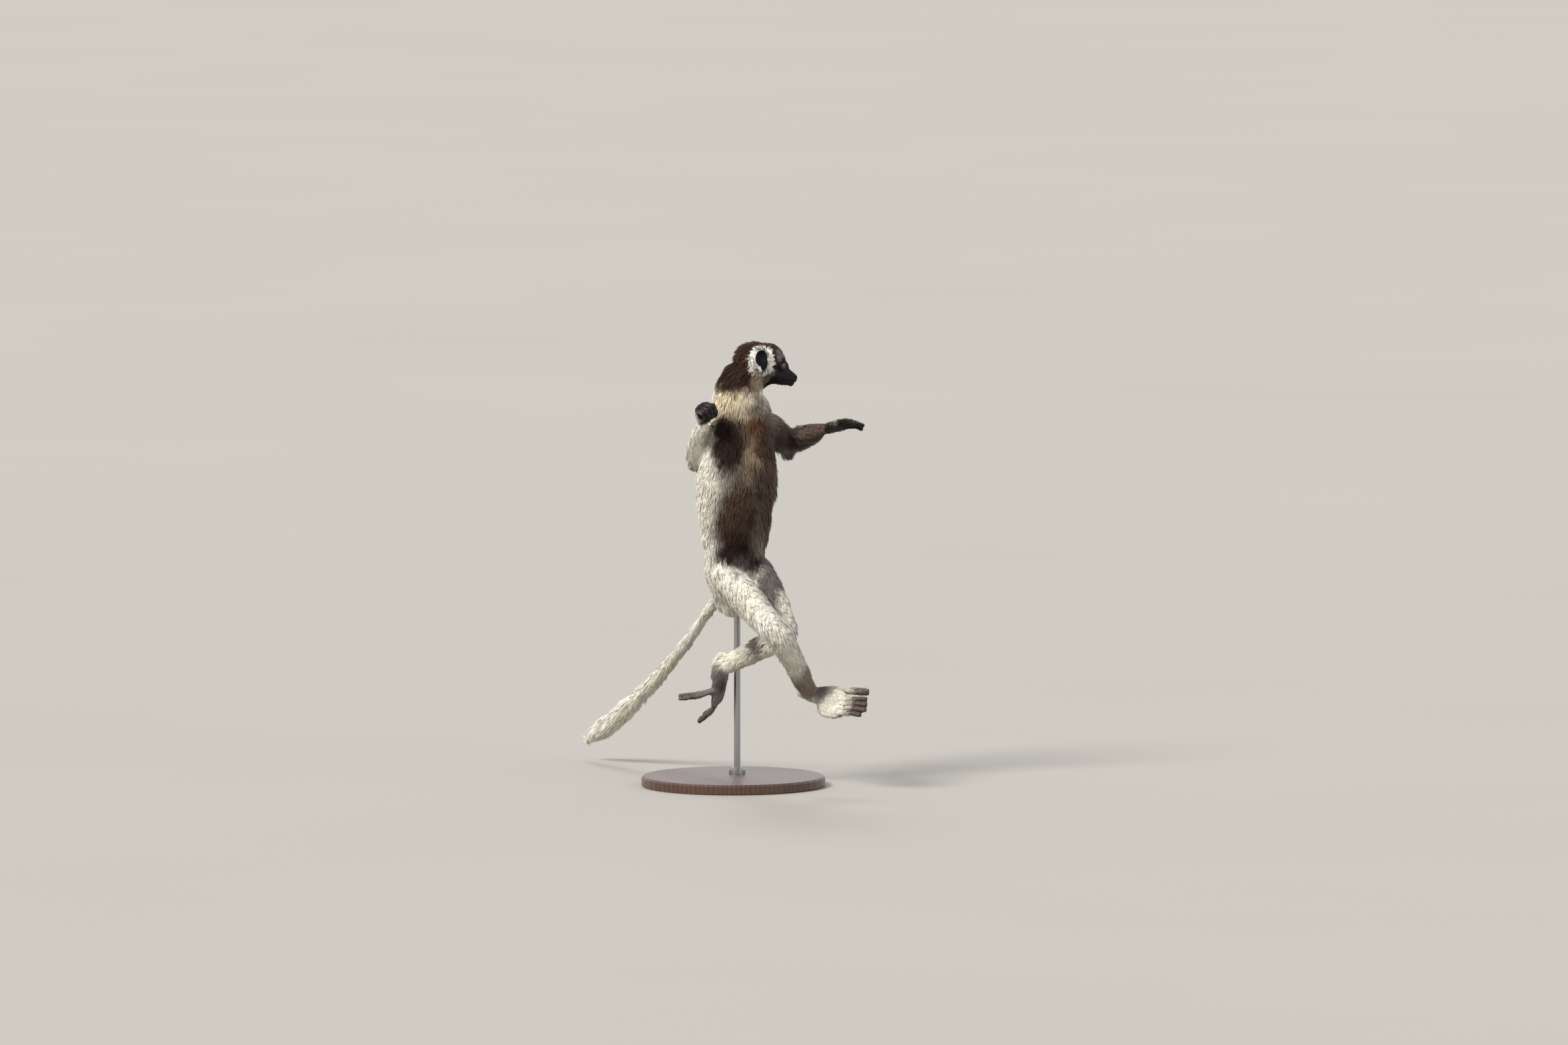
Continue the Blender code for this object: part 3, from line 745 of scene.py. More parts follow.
class Pelt:
    """How the coat lies, how deep and how long it is, at any place on the body."""

    BATCH = 40_000
    SHARPNESS = 10.0
    SETTLED = 0.80
    TAIL_STEPS = 8
    MUZZLE = (0.052, 0.0, -0.016)
    EAR_MIDDLE = (-0.0015, 0.0350, 0.0095)
    EAR_RING = (0.030, 0.018)
    EAR_CUP = (0.0125, 0.0180)
    UNDERSIDE = (0.10, 0.60)
    TOE_TIPS, TOE_WEBS, SOLE_START = (1.12, 1.34), (0.98, 1.14), (0.05, 0.35)
    FINGER_TIPS, PALM_START = (0.55, 1.00), (-0.10, 0.25)
    ROD_ABOVE, ROD_BELOW = (0.030, 0.015), (0.24, 0.26)
    ROD_FIRM, ROD_BARE = (0.016, 0.006), (0.0026, 0.0012)

    def __init__(self, skeleton: Skeleton) -> None:
        """Lays out the bones and fringes.

        Args:
            skeleton: the posed animal.
        """
        self.skeleton = skeleton
        self.head = skeleton.head()
        self.seats = skeleton.seats()
        self.bones = self.lay_bones()
        self.regions = list(Region)
        self.ears = {side: self.ear_seat(side) for side in Side}

    def ear_seat(self, side: Side) -> Matrix:
        """The frame of an ear.

        Args:
            side: right or left.

        Returns:
            The frame at its middle: X out of its cup, Z up its height.
        """
        low, high = (Vector(corner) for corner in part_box(f"ear_{side.value}"))
        facing = self.head.to_3x3() @ Vector((0.42, 0.90 * side.sign, 0.05))
        return frame_of((low + high) / 2, facing, self.head.to_3x3() @ Vector((-0.18, 0, 1.0)))

    def lay_bones(self) -> list[Bone]:
        """The bones from head to tail and from shoulder and hip to the tips of the digits.

        Returns:
            The bones, the head's first.
        """
        head = self.head
        nose, nape = head @ Vector((0.052, 0, -0.018)), head @ Vector((-0.016, 0, 0.0))
        neck, chest, waist, loin, rump = (
            nape.lerp(Vector((0.022, 0.004, 0.650)), 0.5),
            Vector((0.013, 0.002, 0.604)),
            Vector((0.005, 0.001, 0.475)),
            Vector((0.002, 0.0, 0.385)),
            Vector((0.000, 0.004, 0.296)),
        )
        bones = [
            Bone(Region.HEAD, nose, nape, (0.011, 0.036), (0.0003, 0.0060), (0.004, 0.013), 0.0009),
            Bone(Region.NECK, neck, chest, (0.034, 0.049), (0.008, 0.010), (0.015, 0.018), 0.0011),
            Bone(Region.CHEST, chest, waist, (0.048, 0.060), (0.010, 0.011), (0.018, 0.020)),
            Bone(Region.FLANK, waist, loin, (0.060, 0.052), (0.011, 0.010), (0.020, 0.020)),
            Bone(Region.RUMP, loin, rump, (0.052, 0.036), (0.010, 0.009), (0.019, 0.018)),
        ]
        count = self.TAIL_STEPS
        for index in range(count):
            ends = (index / count, (index + 1) / count)
            girth = tuple(0.0100 + 0.0098 * min(t / 0.85, 1) ** 2 for t in ends)
            deep = tuple(0.0050 + 0.0055 * min(t / 0.85, 1) ** 2 for t in ends)
            long = tuple(0.014 + 0.012 * t for t in ends)
            region = Region.TAIL if index < count // 2 else Region.BRUSH
            span = (self.skeleton.tail(t) for t in ends)
            bones.append(Bone(region, *span, girth, deep, long, 0.0012))
        for side in Side:
            bones += self.limb_bones(side)
        for name, digits in self.skeleton.digits().items():
            for digit in digits:
                bones += self.digit_bones(name, digit)
        return bones

    def digit_bones(self, name: str, digit: Digit) -> list[Bone]:
        """The bones of one digit, furred on the foot's toes down to their middle.

        Args:
            name: the hand's or foot's name.
            digit: the digit.

        Returns:
            The bones from root to tip.
        """
        joints, _ = digit.joints(self.seats[name])
        bare = (0.75, 1.0, 1.0)
        if name.startswith("foot"):
            bare = (0.42, 0.90) if len(joints) == 3 else (0.05, 0.85, 1.0)
        girth = (digit.radius * 1.05, digit.radius * 1.05)
        return [
            Bone(Region(name), start, end, girth, (0.0009, 0.0003),
                 (0.008, 0.006) if share < 1 else (0.003, 0.002), 0.0008, share)
            for start, end, share in zip(joints, joints[1:], bare)
        ]

    def limb_bones(self, side: Side) -> list[Bone]:
        """The long bones of one arm and one leg.

        Args:
            side: right or left.

        Returns:
            Four limb bones with the hand's and the foot's own.
        """
        joint = self.skeleton.limb(side)
        name = side.value
        upper = (joint["knee"] - joint["hip"]).normalized()
        lower = (joint["ankle"] - joint["knee"]).normalized()
        front = (upper - lower).normalized()
        bulge = front * (-0.005 if side is Side.RIGHT else 0.018)
        hand, foot = self.seats[f"hand_{name}"], self.seats[f"foot_{name}"]
        palm = hand @ Vector((self.skeleton.palm, 0, 0))
        ball = foot @ Vector((self.skeleton.instep * 0.97, 0, 0))
        heel = foot @ Vector((-self.skeleton.instep * 0.15, 0, 0))
        comb, fall = (-0.6, 0.9) if side is Side.RIGHT else (1.0, 0.45)
        thigh = (joint["hip"] + bulge, joint["knee"] + bulge * 0.35)
        rows = (
            ("upper_arm", joint["shoulder"], joint["elbow"], (0.029, 0.023), (0.009, 0.007),
             (0.017, 0.015), 0.0012, 0.0, 1.0, fall),
            ("forearm", joint["elbow"], joint["wrist"], (0.021, 0.0115), (0.007, 0.0026),
             (0.015, 0.009), 0.0011, 0.0, comb, fall),
            ("hand", joint["wrist"], palm, (0.0095, 0.0130), (0.0014, 0.0006),
             (0.007, 0.006), 0.0008, 0.15, comb),
            ("thigh", *thigh, (0.034, 0.024), (0.010, 0.008), (0.019, 0.017)),
            ("shank", joint["knee"], joint["ankle"], (0.0225, 0.0160), (0.0075, 0.0045),
             (0.016, 0.012), 0.0011),
            ("foot", heel, ball, (0.0130, 0.0120), (0.0040, 0.0014), (0.010, 0.008), 0.0009),
        )
        return [Bone(Region(f"{part}_{name}"), *row) for part, *row in rows]

    def fringes(self) -> list[Fringe]:
        """The places where the coat hangs long or stands off.

        Returns:
            The fringes of the nape, elbows, heels, feet, knee and belly.
        """
        down = (0.0, 0.0, -1.0)
        rows = (
            ((0.004, 0.000, 0.688), (0.030, 0.050, 0.022),
             (-0.7, 0.0, -1.0), (-1.0, 0.2, 0.3), 0.010, 0.9),
            ((0.080, 0.045, 0.532), (0.060, 0.050, 0.030), (0.35, -0.1, -0.8), down, 0.008, 0.2),
            ((-0.058, 0.034, 0.510), (0.028, 0.040, 0.028),
             (-0.45, 0.1, -1.0), (-0.5, 0.2, -0.8), 0.009, 0.3),
            ((-0.026, 0.006, 0.196), (0.016, 0.026, 0.016),
             (-1.0, 0.1, 0.35), (-0.8, 0.2, 0.6), 0.010, 0.5),
            ((-0.004, 0.0, 0.168), (0.016, 0.026, 0.014), (0.0, -0.1, -1.0), down, 0.009, 0.4),
            ((0.160, -0.072, 0.125), (0.030, 0.030, 0.020), (0.25, -0.1, -1.0), down, 0.009, 0.4),
            ((0.030, -0.085, 0.262), (0.050, 0.050, 0.030), (0.25, -0.2, -1.0), down, 0.006, 0.2),
            ((0.062, 0.010, 0.450), (0.020, 0.070, 0.080),
             (0.8, -0.2, -0.6), (1.0, 0.0, 0.0), 0.005, 0.3),
            ((0.100, -0.085, 0.262), (0.022, 0.060, 0.030),
             (0.3, -0.3, -0.6), (0.7, -0.7, 0.0), 0.002, 0.3),
        )
        return [Fringe(*row) for row in rows]

    def along(self, points: Array) -> tuple[Array, Array]:
        """Where points lie along the bones.

        Args:
            points: places, one row each.

        Returns:
            Each bone's share in each place, and how far along each bone it is.
        """
        start = np.array([bone.start for bone in self.bones])
        run = np.array([bone.end for bone in self.bones]) - start
        girth = np.array([bone.girth for bone in self.bones])
        square = (run * run).sum(axis=1)
        shares, spots = [], []
        for first in range(0, len(points), self.BATCH):
            some = points[first : first + self.BATCH]
            spot = np.clip((some @ run.T - (start * run).sum(axis=1)) / square, 0, 1)
            foot = start[None] + spot[:, :, None] * run[None]
            wide = girth[:, 0] + (girth[:, 1] - girth[:, 0]) * spot
            gap = np.linalg.norm(some[:, None] - foot, axis=2) / wide
            nearest = gap.min(axis=1, keepdims=True)
            share = np.exp(-self.SHARPNESS * (gap - nearest))
            shares.append(share / share.sum(axis=1, keepdims=True))
            spots.append(spot)
        return np.concatenate(shares), np.concatenate(spots)

    def read(self, points: Array, normals: Array) -> Settings:
        """The coat's settings at each place.

        Args:
            points: places, one row each.
            normals: which way the surface faces there.

        Returns:
            lie, depth, reach, breadth, cover, hide, lift and region, one entry per place.
        """
        share, spot = self.along(points)

        def each(key: str) -> Array:
            """One setting of every bone."""
            return np.array([getattr(bone, key) for bone in self.bones])

        def spanned(key: str) -> Array:
            """A setting that runs from a bone's start to its end, read at each place."""
            first, last = each(key).T
            return (share * (first + (last - first) * spot)).sum(axis=1)

        depth, reach = spanned("depth"), spanned("reach")
        run = unit(np.array([bone.end - bone.start for bone in self.bones]))
        bare = share @ each("bare")
        owner = np.array([self.regions.index(bone.region) for bone in self.bones])
        lie = share @ (run * each("comb")[:, None])
        lift = np.zeros(len(points))
        for fringe in self.fringes():
            where = inside(points, fringe.centre, fringe.radii, 0.4)
            where = where * ramp(-0.2, 0.5, normals @ unit(np.array(fringe.facing)))
            lie = lie + unit(np.array(fringe.pull)) * where[:, None] * 1.6
            reach = reach + where * fringe.longer
            lift = lift + where * fringe.lift
        settings = {
            "lie": lie - (share @ each("fall"))[:, None] * np.array(UP),
            "depth": depth * self.SETTLED,
            "reach": reach,
            "breadth": share @ each("breadth"),
            "cover": 1.0 - np.clip(bare, 0, 1),
            "hide": np.clip(bare * 1.6 - 0.3, 0, 1),
            "lift": lift,
            "region": owner[share.argmax(axis=1)],
        }
        self.shape_head(points, normals, settings, share[:, 0])
        self.shape_soles(points, normals, settings)
        self.clear_rod(points, settings)
        settings["lie"] = self.flatten(settings["lie"] + drift(points, 0.016, 51) * 0.22, normals)
        return settings

    @staticmethod
    def flatten(lie: Array, normals: Array) -> Array:
        """Directions laid onto the surface, at length one."""
        return unit(lie - normals * (lie * normals).sum(axis=1, keepdims=True))

    def shape_head(self, points: Array, normals: Array, settings: Settings, near: Array) -> None:
        """Sets the head's own lie, depth and bare skin.

        Args:
            points: places, one row each.
            normals: which way the surface faces there.
            settings: the pelt's settings, changed in place.
            near: how far each place belongs to the head.
        """
        at = local_to(self.head, points)
        f, l, u = at.T
        side = np.abs(l)
        bare = Markings.bare_face(at) * near
        away = unit(at - np.array(self.MUZZLE))
        away[:, 2] -= 0.10
        beside = np.stack([f, side, u], axis=1) - np.array(self.EAR_MIDDLE)
        ring = ramp(*self.EAR_RING, np.hypot(beside[:, 0], beside[:, 2]))
        ring = ring * ramp(0.006, 0.016, side)
        outward = unit(beside * np.array((1.0, 0.0, 1.0)))
        outward[:, 1] = 0.5 * np.sign(l)
        lie = world_of(self.head, unit(away + outward * ring[:, None] * 2.2))
        blend = (near * ramp(-0.050, -0.030, u - f * 0.6))[:, None]
        settings["lie"] = settings["lie"] * (1 - blend) + lie * blend
        front = ramp(0.012, 0.030, f)
        deep = 0.0050 + 0.0012 * ring - 0.0032 * front
        chin = ramp(-0.022, -0.032, u) * ramp(0.006, 0.020, f)
        for key, wanted in (
            ("depth", deep * (1 - bare) + 0.0002 * bare),
            ("reach", (0.0125 - 0.0040 * ring - 0.0070 * front) * (1 - 0.45 * chin)),
            ("breadth", 0.0012 - 0.0005 * front),
        ):
            settings[key] = settings[key] * (1 - near) + wanted * near
        settings["lift"] = settings["lift"] + ring * near * 0.25
        cup = self.ear_cups(points, normals)
        below = ramp(0.016, 0.022, side) * ramp(0.002, -0.003, u) * near
        mouth = np.maximum(cup, below) * Markings.ear_mouth(at)
        settings["face"], settings["cup"], settings["ear"] = bare, cup, mouth
        settings["cover"] = settings["cover"] * (1 - bare) * (1 - mouth)
        settings["reach"] = settings["reach"] * (1 - 0.45 * cup)
        settings["depth"] = settings["depth"] * (1 - 0.80 * cup)
        settings["breadth"] = settings["breadth"] * (1 - 0.30 * cup)

    def ear_cups(self, points: Array, normals: Array) -> Array:
        """How far places lie in the hollow of an ear.

        Args:
            points: places, one row each.
            normals: which way the surface faces there.

        Returns:
            One in a hollow, zero away from it.
        """
        cup = np.zeros(len(points))
        wide, high = self.EAR_CUP
        for seat in self.ears.values():
            own = local_to(seat, points)
            within = ramp(1.10, 0.95, np.hypot(own[:, 1] / wide, own[:, 2] / high))
            level = ramp(-0.0125, -0.0095, own[:, 0]) * ramp(0.0065, 0.0045, own[:, 0])
            facing = ramp(-0.05, 0.30, normals @ np.array(seat.to_3x3().col[0]))
            cup = np.maximum(cup, within * level * facing)
        return cup

    def shape_soles(self, points: Array, normals: Array, settings: Settings) -> None:
        """Leaves palms, soles and the ends of the digits bare.

        Args:
            points: places, one row each.
            normals: which way the surface faces there.
            settings: the pelt's settings, changed in place.
        """
        for name, seat in self.seats.items():
            own = settings["region"] == self.regions.index(Region(name))
            at = local_to(seat, points[own])
            under = ramp(*self.UNDERSIDE, -normals[own] @ np.array(seat.to_3x3().col[2]))
            if name.startswith("foot"):
                along = at[:, 0] / self.skeleton.instep
                tips = ramp(*self.TOE_TIPS, along)
                web = 0.60 * ramp(*self.TOE_WEBS, along)
                settings["hide"][own] = np.maximum(settings["hide"][own], web)
                under = under * ramp(*self.SOLE_START, along) * 0.9
            else:
                along = at[:, 0] / self.skeleton.palm
                tips = ramp(*self.FINGER_TIPS, along)
                under = under * ramp(*self.PALM_START, along)
            bare = np.clip(np.maximum(under, tips), 0, 1)
            settings["cover"][own] *= 1 - bare
            settings["hide"][own] = np.maximum(settings["hide"][own], bare)
            settings["depth"][own] *= 1 - 0.9 * bare

    def clear_rod(self, points: Array, settings: Settings) -> None:
        """Keeps the skin firm round the rod's socket, and the socket free of fur.

        Args:
            points: places, one row each.
            settings: the pelt's settings, changed in place.
        """
        low, high = (np.array(corner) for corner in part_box("stand_rod"))
        radius = (high[0] - low[0]) / 2
        away = np.linalg.norm(points[:, :2] - ((low + high) / 2)[:2], axis=1) - radius
        top, bottom = (high[2] + above for above in self.ROD_ABOVE)
        level = ramp(top, bottom, points[:, 2]) * ramp(*self.ROD_BELOW, points[:, 2])
        settings["depth"] *= 1 - level * ramp(*self.ROD_FIRM, away) * 0.95
        settings["cover"] *= 1 - level * ramp(*self.ROD_BARE, away)


# ---- Finishes ----


class Nodes:
    """A short way to write a finish's nodes."""

    def __init__(self, name: str) -> None:
        """Starts a finish.

        Args:
            name: the finish's plain name.
        """
        self.material = bpy.data.materials.new(name)
        self.material.use_nodes = True
        self.tree = self.material.node_tree
        self.tree.nodes.clear()
        output = self.tree.nodes.new("ShaderNodeOutputMaterial")
        self.shader = self.tree.nodes.new("ShaderNodeBsdfPrincipled")
        self.put(output.inputs["Surface"], self.shader.outputs["BSDF"])

    def put(self, socket: Socket, value: object) -> None:
        """Gives a socket a plain value, or joins another socket to it."""
        if isinstance(value, Socket):
            self.tree.links.new(value, socket)
        else:
            socket.default_value = value

    def node(self, kind: str, **values: object) -> bpy.types.Node:
        """Adds a node.

        Args:
            kind: the node's type without its ShaderNode start.
            values: attributes of the node, or sockets by name with spaces as underscores.

        Returns:
            The new node.
        """
        made = self.tree.nodes.new("ShaderNode" + kind)
        for key, value in values.items():
            name = key.replace("_", " ")
            if name in made.inputs:
                self.put(made.inputs[name], value)
            else:
                setattr(made, key, value)
        return made

    def object_space(self) -> Socket:
        """The piece's own coordinates."""
        return self.node("TexCoord").outputs["Object"]

    def kept(self, name: str = "pelt", output: str = "Color") -> Socket:
        """A colour or a value that is kept on the piece's points."""
        return self.node("Attribute", attribute_name=name).outputs[output]

    def stretched(self, stretch: Triple, turn: Triple = (0, 0, 0)) -> Socket:
        """The piece's own coordinates, scaled along the axes and turned about them in radians."""
        mapping = self.node("Mapping", Vector=self.object_space(), Scale=stretch, Rotation=turn)
        return mapping.outputs["Vector"]

    def speckle(self, scale: float, detail: float = 3.0, stretch: Triple = (1, 1, 1)) -> Socket:
        """A noise over the piece: how fine it is, its octaves, and its scales along the axes."""
        at = self.stretched(stretch)
        return self.node("TexNoise", Vector=at, Scale=scale, Detail=detail).outputs["Fac"]

    def between(self, value: Socket, low: float, high: float) -> Socket:
        """Spreads a value from 0 to 1 over a range."""
        return self.node("MapRange", Value=value, To_Min=low, To_Max=high).outputs["Result"]

    def scaled_sum(self, value: Socket, factor: float, other: Socket) -> Socket:
        """A value times a factor, plus another value.

        Args:
            value: the first value's socket.
            factor: what it is multiplied by.
            other: the second value's socket.

        Returns:
            The sum's socket.
        """
        made = self.node("Math", operation="MULTIPLY_ADD")
        for socket, part in zip(made.inputs, (value, factor, other)):
            self.put(socket, part)
        return made.outputs["Value"]

    def blend(self, share: object, first: object, second: object, kind: str = "MIX") -> Socket:
        """Mixes two colours.

        Args:
            share: the second colour's share, as a socket or a number.
            first: a socket or a linear colour.
            second: a socket or a linear colour.
            kind: how they mix.

        Returns:
            The mixed colour's socket.
        """
        mix = self.node("Mix", data_type="RGBA", blend_type=kind)
        self.put(mix.inputs[0], share)
        for place, colour in ((6, first), (7, second)):
            self.put(mix.inputs[place], colour if isinstance(colour, Socket) else (*colour, 1.0))
        return mix.outputs[2]

    def grained(self, colour: Socket, value: Socket, share: float = 1.0) -> Socket:
        """Multiplies a colour by a grey, by a share of it."""
        grey = self.node("CombineColor", Red=value, Green=value, Blue=value)
        return self.blend(share, colour, grey.outputs["Color"], "MULTIPLY")

    def relief(self, height: Socket, strength: float, distance: float) -> None:
        """Raises the surface by a height, given the share that shows and the metres for 1."""
        bump = self.node("Bump", Height=height, Strength=strength, Distance=distance)
        self.put(self.shader.inputs["Normal"], bump.outputs["Normal"])

    def finish(self, colour: Socket, rough: object, **values: object) -> bpy.types.Material:
        """Ends the finish.

        Args:
            colour: the colour's socket.
            rough: the roughness, as a socket or a number.
            values: plain values of the shader's sockets, by name with spaces as underscores.

        Returns:
            The finished material.
        """
        for key, value in {"Base Color": colour, "Roughness": rough, **values}.items():
            self.put(self.shader.inputs[key.replace("_", " ")], value)
        return self.material


@dataclass(frozen=True)
class FurFinish:
    """Soft dull fur whose colour is kept on the tufts."""

    hair: float = 900.0
    gloss: float = 260.0
    rough: Pair = (0.55, 0.80)
    specular: float = 0.06
    sheen: float = 0.015
    glow: float = 0.30
    glow_radius: Tone = (1.0, 0.85, 0.70)
    glow_scale: float = 0.0016

    def make(self) -> bpy.types.Material:
        """The finish as a material.

        Returns:
            The fur's material.
        """
        nodes = Nodes("fur")
        return nodes.finish(
            nodes.grained(nodes.kept(), nodes.between(nodes.speckle(self.hair, 2.0), 0.86, 1.10)),
            nodes.between(nodes.speckle(self.gloss), *self.rough),
            Specular_IOR_Level=self.specular,
            Sheen_Weight=self.sheen,
            Sheen_Roughness=0.5,
            Subsurface_Weight=self.glow,
            Subsurface_Radius=self.glow_radius,
            Subsurface_Scale=self.glow_scale,
        )


@dataclass(frozen=True)
class SkinFinish:
    """Skin that is dull under the coat and finely grained where it is bare."""

    pore: float = 620.0
    crease: float = 240.0
    covered: Pair = (0.78, 0.92)
    naked: Pair = (0.42, 0.62)
    specular: float = 0.14

    def make(self) -> bpy.types.Material:
        """The finish as a material.

        Returns:
            The skin's material.
        """
        nodes = Nodes("skin")
        at = nodes.object_space()
        cells = nodes.node("TexVoronoi", Vector=at, Scale=self.pore, feature="DISTANCE_TO_EDGE")
        edge = cells.outputs["Distance"]
        shine = nodes.node("Mix", data_type="FLOAT")
        nodes.put(shine.inputs[0], nodes.kept("naked", "Fac"))
        nodes.put(shine.inputs[2], nodes.between(nodes.speckle(180.0), *self.covered))
        nodes.put(shine.inputs[3], nodes.between(nodes.speckle(300.0), *self.naked))
        folds = nodes.speckle(self.crease, 5.0, (1.0, 1.0, 0.6))
        nodes.relief(nodes.scaled_sum(edge, 0.4, folds), 0.40, 0.0004)
        return nodes.finish(
            nodes.grained(nodes.kept(), nodes.between(edge, 0.86, 1.12), 0.6),
            shine.outputs[0],
            Specular_IOR_Level=self.specular,
        )


@dataclass(frozen=True)
class HornFinish:
    """Dark horn of the nails, streaked along their length."""

    base: Tone = tone(36, 31, 29)
    pale: Tone = tone(64, 56, 50)
    streak: float = 420.0
    rough: Pair = (0.28, 0.45)

    def make(self) -> bpy.types.Material:
        """The finish as a material.

        Returns:
            The horn's material.
        """
        nodes = Nodes("horn")
        streak = nodes.speckle(self.streak, 3.0, (1.0, 1.0, 0.5))
        nodes.relief(streak, 0.3, 0.0002)
        return nodes.finish(
            nodes.blend(streak, self.base, self.pale), nodes.between(streak, *self.rough)
        )


@dataclass(frozen=True)
class EyeFinish:
    """A wet amber eye with a dark rim and pupil, kept as rings on the eyeball."""

    fibre: float = 1500.0
    rough: Pair = (0.03, 0.09)
    coat: float = 0.25

    def make(self) -> bpy.types.Material:
        """The finish as a material.

        Returns:
            The eye's material.
        """
        nodes = Nodes("eye")
        return nodes.finish(
            nodes.grained(nodes.kept(), nodes.between(nodes.speckle(self.fibre, 2.0), 0.75, 1.25)),
            nodes.between(nodes.speckle(90.0), *self.rough),
            Coat_Weight=self.coat,
            Coat_Roughness=0.03,
        )


@dataclass(frozen=True)
class WoodFinish:
    """Stained turned wood with open grain and a satin lacquer."""

    dark: Tone = tone(46, 29, 20)
    light: Tone = tone(92, 60, 38)
    rings: float = 46.0
    pores: float = 700.0
    rough: Pair = (0.30, 0.48)
    lacquer: float = 0.25

    def make(self) -> bpy.types.Material:
        """The finish as a material.

        Returns:
            The wood's material.
        """
        nodes = Nodes("stained_wood")
        along = nodes.stretched((1.0, 0.16, 1.0), (0.02, 0.05, 0.35))
        warp = nodes.node("TexNoise", Vector=along, Scale=9.0, Detail=4.0)
        wave = nodes.node(
            "TexWave", Vector=along, Scale=self.rings, Distortion=3.2, Detail=3.0, Detail_Scale=2.0
        )
        pores = nodes.speckle(self.pores, 4.0, (1.0, 0.06, 1.0))
        warped = nodes.between(warp.outputs["Fac"], 0.0, 0.5)
        grain = nodes.scaled_sum(wave.outputs["Fac"], 0.55, warped)
        mixed = nodes.blend(grain, self.dark, self.light)
        nodes.relief(pores, 0.25, 0.0004)
        return nodes.finish(
            nodes.blend(nodes.between(pores, 0.0, 0.5), mixed, self.dark),
            nodes.between(pores, *self.rough),
            Coat_Weight=self.lacquer,
            Coat_Roughness=0.25,
        )


@dataclass(frozen=True)
class SteelFinish:
    """Satin steel, brushed round the rod."""

    light: Tone = tone(176, 176, 174)
    dark: Tone = tone(140, 140, 138)
    brush: float = 380.0
    rough: Pair = (0.24, 0.40)

    def make(self) -> bpy.types.Material:
        """The finish as a material.

        Returns:
            The steel's material.
        """
        nodes = Nodes("brushed_steel")
        brushed = nodes.speckle(self.brush, 4.0, (0.25, 0.25, 9.0))
        nodes.relief(brushed, 0.12, 0.0002)
        return nodes.finish(
            nodes.blend(brushed, self.light, self.dark),
            nodes.between(brushed, *self.rough),
            Metallic=1.0,
        )


@dataclass(frozen=True)
class FloorFinish:
    """A pale matt floor."""

    light: Tone = tone(152, 148, 142)
    dark: Tone = tone(146, 143, 137)
    cloud: float = 0.7
    rough: float = 0.9

    def make(self) -> bpy.types.Material:
        """The finish as a material.

        Returns:
            The floor's material.
        """
        nodes = Nodes("pale_floor")
        colour = nodes.blend(nodes.speckle(self.cloud), self.light, self.dark)
        return nodes.finish(colour, self.rough)


# ---- Skin ----


class Surface:
    """A mesh held as arrays, for moves of all its points at once."""

    SMOOTH_STEPS = (0.55, -0.57)

    def __init__(self, mesh: bpy.types.Mesh) -> None:
        """Reads a mesh.

        Args:
            mesh: the mesh to hold and to write back to.
        """
        self.mesh = mesh
        self.points = np.empty(len(mesh.vertices) * 3)
        mesh.vertices.foreach_get("co", self.points)
        self.points = self.points.reshape(-1, 3)
        self.edges = np.empty(len(mesh.edges) * 2, dtype=np.int32)
        mesh.edges.foreach_get("vertices", self.edges)
        self.edges = self.edges.reshape(-1, 2)
        self.degree = np.maximum(np.bincount(self.edges.ravel(), minlength=len(self.points)), 1)

    def normals(self) -> Array:
        """Which way each point faces.

        Returns:
            One unit vector per point.
        """
        self.write()
        values = np.empty(len(self.points) * 3)
        self.mesh.vertex_normals.foreach_get("vector", values)
        return values.reshape(-1, 3)

    def write(self) -> None:
        """Puts the points into the mesh."""
        self.mesh.vertices.foreach_set("co", self.points.ravel())
        self.mesh.update()

    def averaged(self, values: Array) -> Array:
        """The mean over each point's neighbours.

        Args:
            values: one row per point.

        Returns:
            The means, one row per point.
        """
        first, second = self.edges.T
        total = np.stack(
            [
                np.bincount(first, weights=column[second], minlength=len(values))
                + np.bincount(second, weights=column[first], minlength=len(values))
                for column in values.T
            ],
            axis=1,
        )
        return total / self.degree[:, None]

    def relax(self, step: float, share: Array | float = 1.0) -> None:
        """Moves each point towards the mean of its neighbours, by a step times its share."""
        self.points = self.points + (self.averaged(self.points) - self.points) * step * share

    def soften(self, rounds: int, share: float = 1.0) -> None:
        """Smooths without much loss of size.

        Args:
            rounds: how often.
            share: how much of each step is taken.
        """
        for _ in range(rounds):
            for step in self.SMOOTH_STEPS:
                self.relax(step, share)


